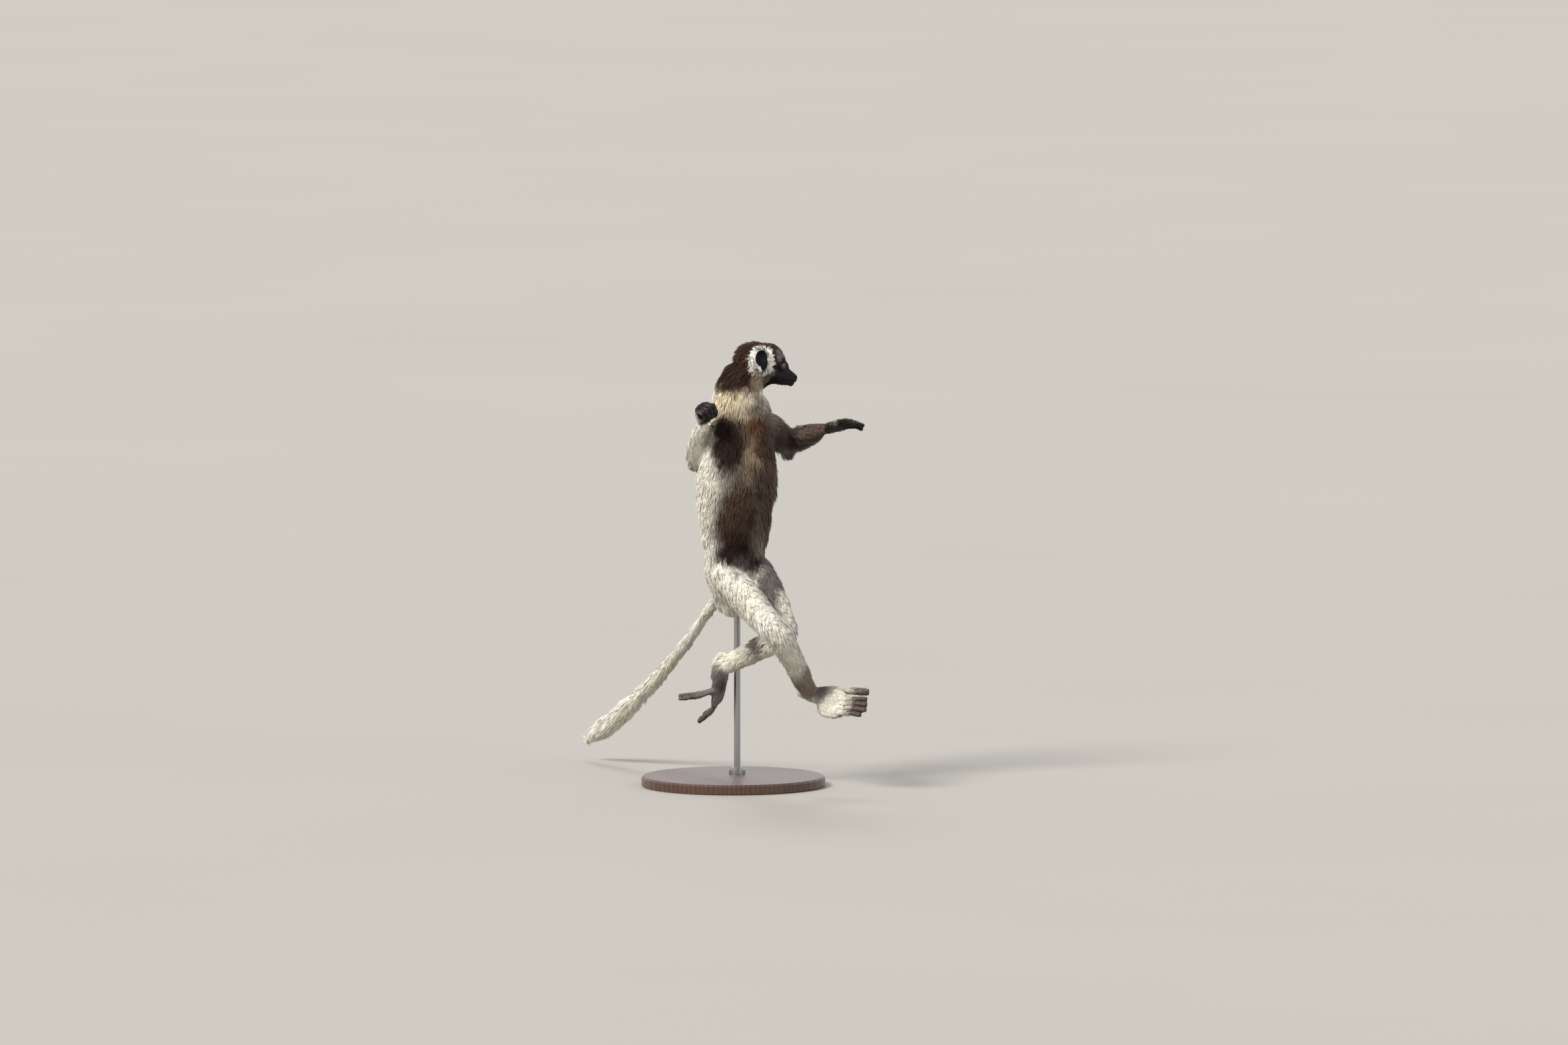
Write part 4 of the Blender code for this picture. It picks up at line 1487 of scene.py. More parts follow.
@dataclass
class Skin:
    """The one skin under the coat.

    The fused solids are smoothed, moved in by the coat's depth and made lighter under the coat. The
    lids, nostrils, mouth and creases are cut after that, so they keep all their points.
    """

    pelt: Pelt
    markings: Markings
    voxel: float = 0.00100
    swell: float = 0.00036
    triangles: int = 176_000
    first_smoothing: int = 7
    inward_steps: int = 5
    full_cover: float = 0.004
    uncrumple_rounds: int = 24
    crumple: Pair = (0.015, 0.080)
    ear_shell: Pair = (0.0026, 0.0018)
    ear_reach: float = 0.030
    head_radius: float = 0.062
    head_share: float = 0.25
    cover_levels: int = 8
    finest: float = 0.0007
    flesh: list[str] = field(default_factory=list)

    def gather(self) -> bpy.types.Object:
        """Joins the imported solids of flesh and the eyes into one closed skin.

        Returns:
            The skin before any change of form.
        """
        self.flesh = [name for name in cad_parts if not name.startswith(("eye_", "stand_"))]
        whole = bmesh.new()
        for name in [*self.flesh, "eye_right", "eye_left"]:
            shape = solid_copy(name)
            for point in shape.verts:
                point.co += point.normal * self.swell
            part = settled(shape, name)
            whole.from_mesh(part)
            bpy.data.meshes.remove(part)
        piece = new_piece("skin", settled(whole, "skin"))
        remesh = piece.modifiers.new("Fuse", "REMESH")
        remesh.mode, remesh.voxel_size = "VOXEL", self.voxel
        return self.largest(applied(piece))

    @staticmethod
    def largest(piece: bpy.types.Object) -> bpy.types.Object:
        """Keeps the largest connected body of a piece.

        Args:
            piece: the piece to clean.

        Returns:
            The same piece.
        """
        surface = Surface(piece.data)
        label = np.arange(len(surface.points))
        first, second = surface.edges.T
        while True:
            low = np.minimum(label[first], label[second])
            before = label.copy()
            np.minimum.at(label, first, low)
            np.minimum.at(label, second, low)
            label = label[label]
            if (label == before).all():
                break
        names, counts = np.unique(label, return_counts=True)
        lost = np.nonzero(label != names[counts.argmax()])[0].tolist()
        if lost:
            shape = bmesh.new()
            shape.from_mesh(piece.data)
            shape.verts.ensure_lookup_table()
            bmesh.ops.delete(shape, geom=[shape.verts[i] for i in lost], context="VERTS")
            shape.to_mesh(piece.data)
            shape.free()
        return piece

    def ear_share(self, points: Array) -> Array:
        """How far each point belongs to an ear's shell.

        Args:
            points: places, one row each.

        Returns:
            One on the shell, zero away from it.
        """
        share = np.zeros(len(points))
        outer, fade = self.ear_shell
        for side in Side:
            shape = solid_copy(f"ear_{side.value}")
            tree = BVHTree.FromBMesh(shape)
            centre = np.array(self.pelt.ears[side].translation)
            near = np.nonzero(np.linalg.norm(points - centre, axis=1) < self.ear_reach)[0]
            for index in near:
                gap = tree.find_nearest(Vector(points[index]))[3]
                share[index] = max(share[index], float(np.clip((outer - gap) / fade, 0, 1)))
            shape.free()
        return share

    def thin(self, surface: Surface) -> None:
        """Moves the skin in by the coat's depth.

        Args:
            surface: the skin's points.
        """
        surface.points = surface.points - surface.normals() * self.swell
        surface.soften(self.first_smoothing)
        settings = self.pelt.read(surface.points, surface.normals())
        depth = settings["depth"] * (1 - self.ear_share(surface.points))
        for _ in range(3):
            depth = surface.averaged(depth[:, None])[:, 0] * 0.6 + depth * 0.4
        covered = np.clip(depth / self.full_cover, 0, 1)[:, None]
        for _ in range(self.inward_steps):
            normals = surface.normals()
            for _ in range(2):
                normals = unit(surface.averaged(normals) + normals)
            surface.points = surface.points - normals * (depth / self.inward_steps)[:, None]
            for _ in range(3):
                surface.relax(0.35, covered)
        for _ in range(self.uncrumple_rounds):
            crumpled = 1.0 - np.linalg.norm(surface.averaged(surface.normals()), axis=1)
            crumpled = surface.averaged(crumpled[:, None])[:, 0]
            surface.relax(0.8, ramp(*self.crumple, crumpled)[:, None] * covered)
        surface.write()

    def lighten(self, piece: bpy.types.Object, surface: Surface) -> None:
        """Takes faces out where the coat hides the skin.

        Args:
            piece: the skin.
            surface: its points.
        """
        settings = self.pelt.read(surface.points, surface.normals())
        head = np.linalg.norm(local_to(self.pelt.head, surface.points), axis=1) < self.head_radius
        hidden = np.clip(settings["cover"], 0, 1) * np.where(head, self.head_share, 1.0)
        hidden = np.where(hidden < 0.2, 0.0, hidden)
        group = piece.vertex_groups.new(name="hidden")
        levels = np.round(hidden * self.cover_levels).astype(int)
        for level in range(1, self.cover_levels + 1):
            chosen = np.nonzero(levels == level)[0].tolist()
            if chosen:
                group.add(chosen, level / self.cover_levels, "REPLACE")
        fewer = piece.modifiers.new("Fewer", "DECIMATE")
        fewer.ratio = min(1.0, self.triangles / triangles_of(piece.data))
        fewer.vertex_group = group.name
        fewer.vertex_group_factor = 4.0
        applied(piece)
        piece.vertex_groups.clear()

    def refine(self, piece: bpy.types.Object) -> None:
        """Makes the mesh finer round the eyes, nose and mouth.

        Args:
            piece: the skin.
        """
        shape = bmesh.new()
        shape.from_mesh(piece.data)
        inverse = self.pelt.head.inverted()
        chosen = []
        for edge in shape.edges:
            at = inverse @ ((edge.verts[0].co + edge.verts[1].co) / 2)
            eye = min((at - Vector((0.034, 0.0170 * sign, -0.001))).length for sign in (1, -1))
            nose = (at - Vector((0.054, 0.0, -0.022))).length
            if (eye < 0.0115 or nose < 0.0125) and edge.calc_length() > self.finest:
                chosen.append(edge)
        bmesh.ops.subdivide_edges(shape, edges=chosen, cuts=1, use_grid_fill=True)
        bmesh.ops.triangulate(shape, faces=[face for face in shape.faces if len(face.verts) > 4])
        shape.to_mesh(piece.data)
        shape.free()

    def sculpt_eyes(self, surface: Surface) -> Array:
        """Opens the lids over the eyeballs.

        Args:
            surface: the skin's points.

        Returns:
            How far each point belongs to a lid's rim.
        """
        rims = np.zeros(len(surface.points))
        lids = Lids()
        for side in Side:
            seat = frame_of(*Eye(side, self.pelt).aim(), UP)
            at = local_to(seat, surface.points)
            far = np.linalg.norm(at, axis=1)
            near = far < lids.radius * lids.search
            toward = at[near] / np.maximum(far[near], 1e-9)[:, None]
            wanted, rim = lids.shape(toward, far[near])
            surface.points[near] = world_of(seat, toward * wanted[:, None]) + np.array(seat)[:3, 3]
            rims[near] = np.maximum(rims[near], rim)
        return rims

    def sculpt_muzzle(self, surface: Surface) -> None:
        """Cuts nostrils, the groove under the nose and the line of the mouth.

        Args:
            surface: the skin's points.
        """
        f, l, u = local_to(self.pelt.head, surface.points).T
        side = np.abs(l)
        push = np.zeros(len(f))
        for centre, radii, deep in (
            ((0.0575, 0.0048, -0.0205), (0.0050, 0.0020, 0.0015), 0.0018),
            ((0.0555, 0.0066, -0.0188), (0.0042, 0.0022, 0.0011), 0.0012),
        ):
            push += deep * inside(np.stack([f, side, u], axis=1), centre, radii, 0.55)
        groove = np.exp(-((l / 0.0006) ** 2)) * ramp(0.054, 0.057, f) * ramp(-0.0175, -0.0200, u)
        push += 0.0006 * groove
        mouth = np.interp(side, (0.0, 0.004, 0.009, 0.0135), (-0.0295, -0.0285, -0.0275, -0.0250))
        push += 0.0011 * np.exp(-(((u - mouth) / 0.0008) ** 2)) * ramp(0.022, 0.028, f)
        surface.points = surface.points - surface.normals() * push[:, None]

    def wrinkle(self, surface: Surface) -> None:
        """Parts the digits, waists their bones and creases the skin at the knuckles.

        Args:
            surface: the skin's points.
        """
        push = np.zeros(len(surface.points))
        pulled = np.zeros_like(surface.points)
        skeleton, knuckles = self.pelt.skeleton, Knuckles()
        reach = (skeleton.palm + skeleton.instep) * 1.3
        for name, digits in skeleton.digits().items():
            seat = self.pelt.seats[name]
            off = np.linalg.norm(surface.points - np.array(seat.translation), axis=1)
            near = np.nonzero(off < reach)[0]
            points = surface.points[near]
            gaps = []
            for digit in digits:
                pushed, drawn, gap = knuckles.shape(points, digit.joints(seat)[0], digit.radius)
                push[near] += pushed
                pulled[near] += drawn
                gaps.append(gap)
            push[near] += knuckles.part(np.sort(np.array(gaps), axis=0))
        surface.points = surface.points - surface.normals() * push[:, None] - pulled

    def build(self) -> "Skin":
        """Makes the skin's form.

        Returns:
            The skin itself, with its piece.
        """
        piece = self.gather()
        surface = Surface(piece.data)
        self.thin(surface)
        self.lighten(piece, surface)
        self.refine(piece)
        self.refine(piece)
        surface = Surface(piece.data)
        surface.soften(2, 0.6)
        self.rims = self.sculpt_eyes(surface)
        self.sculpt_muzzle(surface)
        self.wrinkle(surface)
        surface.write()
        piece.data.shade_smooth()
        self.piece, self.surface = piece, surface
        return self

    def dress(self) -> None:
        """Gives the skin its colours and finish."""
        surface = self.surface
        self.normals = surface.normals()
        settings = self.settings = self.pelt.read(surface.points, self.normals)
        colour = self.markings.read(surface.points, self.normals, settings["hide"])
        colour = Markings.lay(colour, Markings.EAR, settings["ear"])
        colour = Markings.lay(colour, Markings.SOOT, self.rims)
        # Painted shade: the skin is a little darker where the coat covers it.
        shade = 1.0 - 0.04 * settings["cover"] * (1 - self.ear_share(surface.points))
        self.store("pelt", np.c_[colour * shade[:, None], np.ones(len(colour))])
        naked = np.clip(settings["hide"] + settings["face"] + settings["ear"], 0, 1)
        self.store("naked", naked)
        self.piece.data.materials.append(SkinFinish().make())
        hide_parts(*self.flesh)
        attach(self.piece, "root")
        log.info("skin: %d triangles", triangles_of(self.piece.data))

    def store(self, name: str, values: Array) -> None:
        """Keeps values on the skin's points.

        Args:
            name: the attribute's name.
            values: a number or a colour with alpha for each point.
        """
        kind, key = ("FLOAT_COLOR", "color") if values.ndim == 2 else ("FLOAT", "value")
        made = self.piece.data.attributes.new(name, kind, "POINT")
        made.data.foreach_set(key, values.astype(np.float32).ravel())


@dataclass(frozen=True)
class Lids:
    """The lids round an eye. Angles are in degrees, off the gaze or past the opening's edge."""

    radius: float = 0.0075
    search: float = 2.4
    hold: float = 1.8
    half_width: float = 47.0
    half_height: float = 37.0
    rise: float = 0.0010
    roll: float = 0.0004
    sunk: float = 0.84
    fold: float = 0.0005

    def shape(self, toward: Array, far: Array) -> tuple[Array, Array]:
        """How far off the eye's middle each point ends.

        Args:
            toward: the way to each point from the eye's middle, in the eye's frame.
            far: how far each point is now.

        Returns:
            How far each point ends, and how far it belongs to the rim.
        """
        angle = np.degrees(np.arccos(np.clip(toward[:, 0], -1, 1)))
        turn = np.arctan2(toward[:, 2], toward[:, 1])
        wide, high = np.cos(turn) / self.half_width, np.sin(turn) / self.half_height
        past = angle - 1.0 / np.sqrt(wide**2 + high**2)
        held = far < self.radius * self.hold
        over = self.radius + self.rise + self.roll * np.exp(-((past - 14) / 7.0) ** 2)
        near = ramp(80, 50, past)
        lid = np.where(held, np.maximum(far, over) * near + far * (1 - near), far)
        sunk = self.radius * self.sunk
        wanted = sunk + (lid - sunk) * ramp(-4.0, 3.0, past)
        wanted = np.where((angle < 100) & held, wanted, far)
        fold = np.exp(-((past - 26) / 5.0) ** 2) * self.fold * (far < self.radius * 1.5)
        return wanted - fold, np.exp(-((past - 3) / 7.0) ** 2)


@dataclass(frozen=True)
class Knuckles:
    """The fine form of the digits."""

    waist: float = 0.15
    tip: float = 0.92
    crease: float = 0.00025
    crease_width: float = 0.00045
    crease_shifts: tuple[float, ...] = (-0.0014, 0.0, 0.0014)
    groove: float = 0.0018
    groove_width: float = 0.26

    def shape(
        self, points: Array, joints: list[Vector], radius: float
    ) -> tuple[Array, Array, Array]:
        """Waists a digit's bones, creases its knuckles and rounds its tip.

        Args:
            points: places near the digit.
            joints: the digit's joints.
            radius: the digit's radius.

        Returns:
            How far each point goes in, how it is drawn to the tip, and how many radii off the
            digit it is.
        """
        push, pulled = np.zeros(len(points)), np.zeros_like(points)
        far = np.full(len(points), 1.0)
        for index, (start, joint) in enumerate(zip(joints, joints[1:])):
            run = np.array(joint - start)
            length = np.linalg.norm(run)
            spot = (points - np.array(start)) @ run / length**2
            held = np.clip(spot, 0, 1)
            away = np.linalg.norm(points - np.array(start) - held[:, None] * run, axis=1)
            far = np.minimum(far, away)
            own = (away < radius * 1.35) & (spot > 0) & (spot < 1)
            push += own * radius * self.waist * np.sin(np.pi * held) ** 2
            if index == len(joints) - 2:
                out = points - np.array(joint)
                over = np.clip(np.linalg.norm(out, axis=1) - radius * self.tip, 0, radius)
                over = over * ramp(-0.1, 0.5, out @ run / length / radius) * (away < radius * 1.8)
                pulled += over[:, None] * unit(out)
                continue
            for shift in self.crease_shifts:
                line = np.exp(-((((spot - 1.0) * length - shift) / self.crease_width) ** 2))
                push += (away < radius * 1.6) * line * self.crease
        return push, pulled, far / radius

    def part(self, gaps: Array) -> Array:
        """The groove between two digits.

        Args:
            gaps: how many radii off each digit each point is, the nearest digit first.

        Returns:
            How far each point goes in.
        """
        between = np.exp(-(((gaps[1] - gaps[0]) / self.groove_width) ** 2))
        return between * ramp(1.7, 1.35, gaps[0]) * self.groove


# ---- Coat ----


@dataclass(frozen=True)
class Growth:
    """How one part of the coat grows: the room for each tuft and the rings each one has."""

    region: Region
    cell: float
    rings: int
    bow: float

    @property
    def seed(self) -> int:
        """The part's own seed."""
        return 100 + 10 * list(Region).index(self.region)

    @property
    def each(self) -> int:
        """The number of points in a tuft."""
        return self.rings * 3 + 1

    @property
    def levels(self) -> tuple[float, ...]:
        """How far along a tuft its rings and its tip are."""
        return ((0.0, 0.5, 1.0), (0.0, 0.34, 0.68, 1.0))[self.rings - 2]

    @property
    def widths(self) -> tuple[float, ...]:
        """How wide each ring is, as a share of the tuft's breadth."""
        return ((1.0, 0.78), (1.0, 1.05, 0.64))[self.rings - 2]


@dataclass
class Coat:
    """The coat: thin closed tufts that follow the lie of the fur over the skin."""

    skin: Skin
    pelt: Pelt
    markings: Markings
    crowding: float = 3.2
    lock_room: float = 3.6
    swing: float = 0.16
    least_rise: float = 0.0011
    rooted: float = 0.0005
    droop: float = 0.05
    drawn: float = 0.44
    full_depth: float = 0.006
    twist: float = 0.35
    half_width: float = 0.55
    height: float = 0.25
    smooth_shading: float = 0.72
    patch: float = 0.003

    GROWTHS = tuple(
        Growth(*row)
        for row in (
            (Region.HEAD, 0.00118, 2, 0.06),
            (Region.NECK, 0.00165, 3, 0.12),
            (Region.CHEST, 0.00176, 3, 0.16),
            (Region.FLANK, 0.00176, 3, 0.16),
            (Region.RUMP, 0.00176, 3, 0.12),
            (Region.TAIL, 0.00165, 3, 0.08),
            (Region.BRUSH, 0.00205, 3, 0.08),
            (Region.ARM_RIGHT, 0.00170, 3, 0.10),
            (Region.ARM_LEFT, 0.00175, 3, 0.10),
            (Region.FOREARM_RIGHT, 0.00150, 3, 0.08),
            (Region.FOREARM_LEFT, 0.00150, 3, 0.08),
            (Region.HAND_RIGHT, 0.00105, 2, 0.04),
            (Region.HAND_LEFT, 0.00105, 2, 0.04),
            (Region.THIGH_RIGHT, 0.00165, 3, 0.10),
            (Region.THIGH_LEFT, 0.00170, 3, 0.10),
            (Region.SHANK_RIGHT, 0.00160, 3, 0.09),
            (Region.SHANK_LEFT, 0.00165, 3, 0.09),
            (Region.FOOT_RIGHT, 0.00112, 2, 0.06),
            (Region.FOOT_LEFT, 0.00115, 2, 0.06),
        )
    )

    def __post_init__(self) -> None:
        """Reads the skin's faces and the outside of the coat."""
        self.material = FurFinish().make()
        mesh = self.skin.piece.data
        mesh.calc_loop_triangles()
        self.corners = np.empty(len(mesh.loop_triangles) * 3, dtype=np.int32)
        mesh.loop_triangles.foreach_get("vertices", self.corners)
        self.corners = self.corners.reshape(-1, 3)
        self.shell = self.envelope()

    def envelope(self) -> BVHTree:
        """The outside of the coat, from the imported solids.

        Returns:
            A tree of the solids' faces.
        """
        points, faces = [], []
        for name in self.skin.flesh:
            shape = solid_copy(name)
            first = len(points)
            shape.verts.index_update()
            points += [point.co.copy() for point in shape.verts]
            faces += [[first + point.index for point in face.verts] for face in shape.faces]
            shape.free()
        return BVHTree.FromPolygons(points, faces)

    def scatter(self, growth: Growth) -> Settings:
        """Picks the roots of one part of the coat, no more than one in a cell.

        Args:
            growth: how the part grows.

        Returns:
            The roots with their settings.
        """
        random = np.random.default_rng(growth.seed)
        settings, points = self.skin.settings, self.skin.surface.points
        region = settings["region"][self.corners]
        index = self.pelt.regions.index(growth.region)
        own = self.corners[(region == index).sum(axis=1) >= 2]
        a, b, c = (points[own[:, i]] for i in range(3))
        area = np.linalg.norm(np.cross(b - a, c - a), axis=1) / 2
        weight = area * settings["cover"][own].mean(axis=1)
        count = int(weight.sum() / growth.cell**2 * self.crowding)
        chosen = own[random.choice(len(own), count, p=weight / weight.sum())]
        share = random.random((count, 2))
        share = np.where(share.sum(axis=1, keepdims=True) > 1, 1 - share, share)
        mix = np.c_[1 - share.sum(axis=1), share]

        def read(values: Array) -> Array:
            """Values of the skin's points, read at the roots."""
            return np.einsum("ij,ij...->i...", mix, values[chosen])

        keys = np.floor(read(points) / growth.cell).astype(np.int64)
        first = np.sort(np.unique(keys, axis=0, return_index=True)[1])
        mix, chosen = mix[first], chosen[first]
        names = ("lie", "depth", "reach", "breadth", "lift", "hide", "cup")
        roots = {key: read(settings[key]) for key in names}
        roots["at"], roots["normal"] = read(points), unit(read(self.skin.normals))
        room = growth.cell * self.lock_room
        shifted = roots["at"] + drift(roots["at"], 0.01, growth.seed + 9) * 0.002
        keys = np.floor(shifted / room).astype(np.int64)
        roots["group"] = np.unique(keys, axis=0, return_inverse=True)[1].ravel()
        roots["lump"] = noise(roots["at"], 0.014, 105)
        roots["lock"] = noise(keys * room * 1.7, 0.004, 107)
        roots["lie"] = Pelt.flatten(roots["lie"], roots["normal"])
        return roots

    def grow(self, growth: Growth, roots: Settings) -> Array:
        """Runs a path for each tuft.

        Args:
            growth: how the part grows.
            roots: the roots with their settings.

        Returns:
            The paths' points: tuft, level, axis.
        """
        random = np.random.default_rng(growth.seed + 1)
        at, normal, lie = roots["at"], roots["normal"], roots["lie"]
        lump, lock, count = roots["lump"], roots["lock"], len(at)
        side = np.cross(normal, lie)
        lie = Pelt.flatten(lie + side * random.normal(0, self.swing, count)[:, None], normal)
        side = np.cross(normal, lie)
        rise = 0.82 + 0.34 * lump + 0.22 * lock + random.normal(0, 0.08, count)
        rise = np.maximum(roots["depth"] * rise, self.least_rise) * (1 + roots["lift"])
        reach = 0.95 + 0.10 * lump + 0.12 * lock + random.normal(0, 0.10, count)
        reach = roots["reach"] * reach
        run = np.sqrt(np.maximum(reach**2 - rise**2, (0.45 * reach) ** 2))
        bow = noise(at, 0.007, growth.seed + 6) + random.normal(0, 0.45, count)
        levels = np.array(growth.levels)[None, :, None]
        path = (
            at[:, None]
            - normal[:, None] * self.rooted
            + lie[:, None] * run[:, None, None] * levels
            + normal[:, None] * rise[:, None, None] * (1 - (1 - levels) ** 1.7)
            + side[:, None] * levels**2 * (reach * bow * growth.bow)[:, None, None]
        )
        path[:, :, 2] -= (levels[:, :, 0] ** 2) * (reach * self.droop)[:, None]
        lead = path[np.unique(roots["group"], return_index=True)[1]][roots["group"]]
        path = path + (lead[:, -1:] - path[:, -1:]) * (self.drawn * levels**1.4)
        return self.tuck(path, roots, random)

    def tuck(self, path: Array, roots: Settings, random: np.random.Generator) -> Array:
        """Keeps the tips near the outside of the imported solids.

        Args:
            path: the paths' points.
            roots: the roots with their settings.
            random: the source of small differences.

        Returns:
            The tucked paths.
        """
        tips = path[:, -1]
        loose = np.clip(roots["depth"] / self.full_depth, 0, 1)
        allowed = 0.0004 + (0.0012 + 0.0014 * loose) * random.random(len(tips))
        allowed = np.maximum(allowed + 0.0010 * loose * roots["lock"], 0.0003)
        allowed = allowed + roots["lift"] * 0.006 + roots["cup"] * 0.0016
        shift = np.zeros_like(tips)
        for index, tip in enumerate(tips):
            place, facing, _, gap = self.shell.find_nearest(Vector(tip))
            if facing is not None and (Vector(tip) - place).dot(facing) > allowed[index]:
                shift[index] = -np.array(facing) * (gap - allowed[index])
        levels = np.linspace(0, 1, path.shape[1])[None, :, None] ** 1.5
        return path + shift[:, None] * levels

    def chart(self, growth: Growth, at: Array) -> Array:
        """Unrolls the part's skin round its bones.

        Args:
            growth: how the part grows.
            at: the roots.

        Returns:
            A place from 0 to 1 both ways for each root.
        """
        bones = [bone for bone in self.pelt.bones if bone.region is growth.region and bone.bare < 1]
        start, end = np.array(bones[0].start), np.array(bones[-1].end)
        seat = frame_of(Vector(start), Vector(end - start), Vector((0.3, 1.0, 0.2)))
        own = local_to(seat, at)
        turn = np.arctan2(own[:, 2], own[:, 1]) / math.tau + 0.5
        low, high = own[:, 0].min(), own[:, 0].max()
        return np.c_[turn, (own[:, 0] - low) / max(high - low, 1e-6)] * 0.98 + 0.01

    def colours(self, roots: Settings, random: np.random.Generator) -> Array:
        """The colour of each tuft, before it is painted darker at its root and lighter at its tip as
        painted shade.

        Args:
            roots: the roots with their settings.
            random: the source of small differences.

        Returns:
            Linear colours, one row per tuft.
        """
        loose = np.clip(roots["depth"] / self.full_depth, 0, 1)
        stray = loose * (0.006 * roots["lock"] + random.normal(0, 0.0015, len(loose)))
        at = roots["at"] + roots["lie"] * stray[:, None]
        base = self.markings.read(at, roots["normal"], roots["hide"] * 0.8)
        # Crests of lumps and locks are painted lighter and their hollows darker as painted shade;
        # the rest is random tone.
        lift = 1.0 + random.normal(0, 0.06, len(base)) + 0.13 * roots["lump"] + 0.10 * roots["lock"]
        lift = np.where(random.random(len(base)) < 0.03, lift * 0.80, lift)
        return np.clip(base * lift[:, None], 0.002, 0.95)

    def build(self, growth: Growth) -> None:
        """Makes one part of the coat.

        Args:
            growth: how the part grows.
        """
        roots = self.scatter(growth)
        path = self.grow(growth, roots)
        random = np.random.default_rng(growth.seed + 3)
        count, rings = len(path), growth.rings
        along = unit(np.gradient(path, axis=1))
        across = unit(np.cross(along, roots["normal"][:, None]))
        twist = random.normal(0, self.twist, count)[:, None, None]
        outward = unit(np.cross(across, along))
        across, outward = (
            across * np.cos(twist) + outward * np.sin(twist),
            outward * np.cos(twist) - across * np.sin(twist),
        )
        wide = roots["breadth"] * (0.9 + 0.25 * random.random(count))
        width = wide[:, None] * np.array(growth.widths)[None]
        body, across, outward = path[:, :rings], across[:, :rings], outward[:, :rings]
        half, tall = (width * self.half_width)[:, :, None], (width * self.height)[:, :, None]
        ring = [body - across * half, body + across * half, body + outward * tall]
        ring = np.stack(ring, axis=2).reshape(count, rings * 3, 3)
        points = np.concatenate([ring, path[:, -1:]], axis=1)
        mesh = self.weave(growth, points, roots, random)
        own = np.empty(len(mesh.vertices) * 3, dtype=np.float32)
        mesh.vertex_normals.foreach_get("vector", own)
        facing = np.repeat(roots["normal"], growth.each, axis=0) * self.smooth_shading
        blended = unit(own.reshape(-1, 3) * (1.0 - self.smooth_shading) + facing)
        mesh.normals_split_custom_set_from_vertices(blended.astype(np.float32))
        mesh.materials.append(self.material)
        piece = new_piece(mesh.name, mesh)
        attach(piece, "root")
        log.info("%s: %d tufts, %d triangles", piece.name, count, triangles_of(mesh))

    @staticmethod
    def tuft(growth: Growth) -> tuple[list[tuple[int, ...]], list[tuple[Pair, ...]]]:
        """One tuft's faces and where they lie in its patch of the map.

        Args:
            growth: how the part grows.

        Returns:
            The faces' corners, and the corners' places in the patch.
        """
        corners, places = [], []
        levels = growth.levels
        for level in range(growth.rings):
            low = level * 3
            near, far = levels[level], levels[level + 1]
            for side in range(3):
                after, left, right = (side + 1) % 3, side / 3, (side + 1) / 3
                if level < growth.rings - 1:
                    corners.append((low + after, low + side, low + 3 + side, low + 3 + after))
                    places.append(((right, near), (left, near), (left, far), (right, far)))
                else:
                    corners.append((low + after, low + side, growth.each - 1))
                    places.append(((right, near), (left, near), ((side + 0.5) / 3, far)))
        corners.append((0, 1, 2))
        places.append(((0.0, 0.0), (1.0, 0.0), (0.5, -0.12)))
        return corners, places

    def weave(
        self, growth: Growth, points: Array, roots: Settings, random: np.random.Generator
    ) -> bpy.types.Mesh:
        """Makes the tufts' mesh with its colours and its map.

        Args:
            growth: how the part grows.
            points: the tufts' points: tuft, point, axis.
            roots: the roots with their settings.
            random: the source of small differences.

        Returns:
            The mesh of all the part's tufts.
        """
        count, each = len(points), growth.each
        corners, places = self.tuft(growth)
        flat = np.array([corner for face in corners for corner in face])
        loops = (flat[None] + np.arange(count)[:, None] * each).ravel()
        totals = np.tile([len(face) for face in corners], count)
        mesh = bpy.data.meshes.new(f"coat_{growth.region.value}")
        mesh.vertices.add(count * each)
        mesh.vertices.foreach_set("co", points.astype(np.float32).ravel())
        mesh.loops.add(len(loops))
        mesh.loops.foreach_set("vertex_index", loops.astype(np.int32))
        mesh.polygons.add(len(totals))
        starts = np.r_[0, np.cumsum(totals)[:-1]]
        mesh.polygons.foreach_set("loop_start", starts.astype(np.int32))
        mesh.update(calc_edges=True)
        mesh.shade_smooth()
        chart = self.chart(growth, roots["at"])
        place = np.array([spot for face in places for spot in face])
        spots = chart[:, None] + (place[None] - np.array((0.5, 0.4))) * self.patch
        layer = mesh.uv_layers.new(name="OFBake", do_init=False)
        layer.uv.foreach_set("vector", spots.astype(np.float32).ravel())
        base = self.colours(roots, random)
        # Painted shade: each tuft is darker at its root and lighter towards its tip.
        fade = np.array([*np.repeat(growth.levels[:-1], 3), 1.0])
        painted_root_shade = 0.95 + 0.08 * fade**0.8
        colour = np.clip(base[:, None] * painted_root_shade[None, :, None], 0, 0.97)
        colour = np.concatenate([colour, np.ones((count, each, 1))], axis=2)
        made = mesh.attributes.new("pelt", "FLOAT_COLOR", "POINT")
        made.data.foreach_set("color", colour.astype(np.float32).ravel())
        return mesh


# ---- Eyes and nails ----


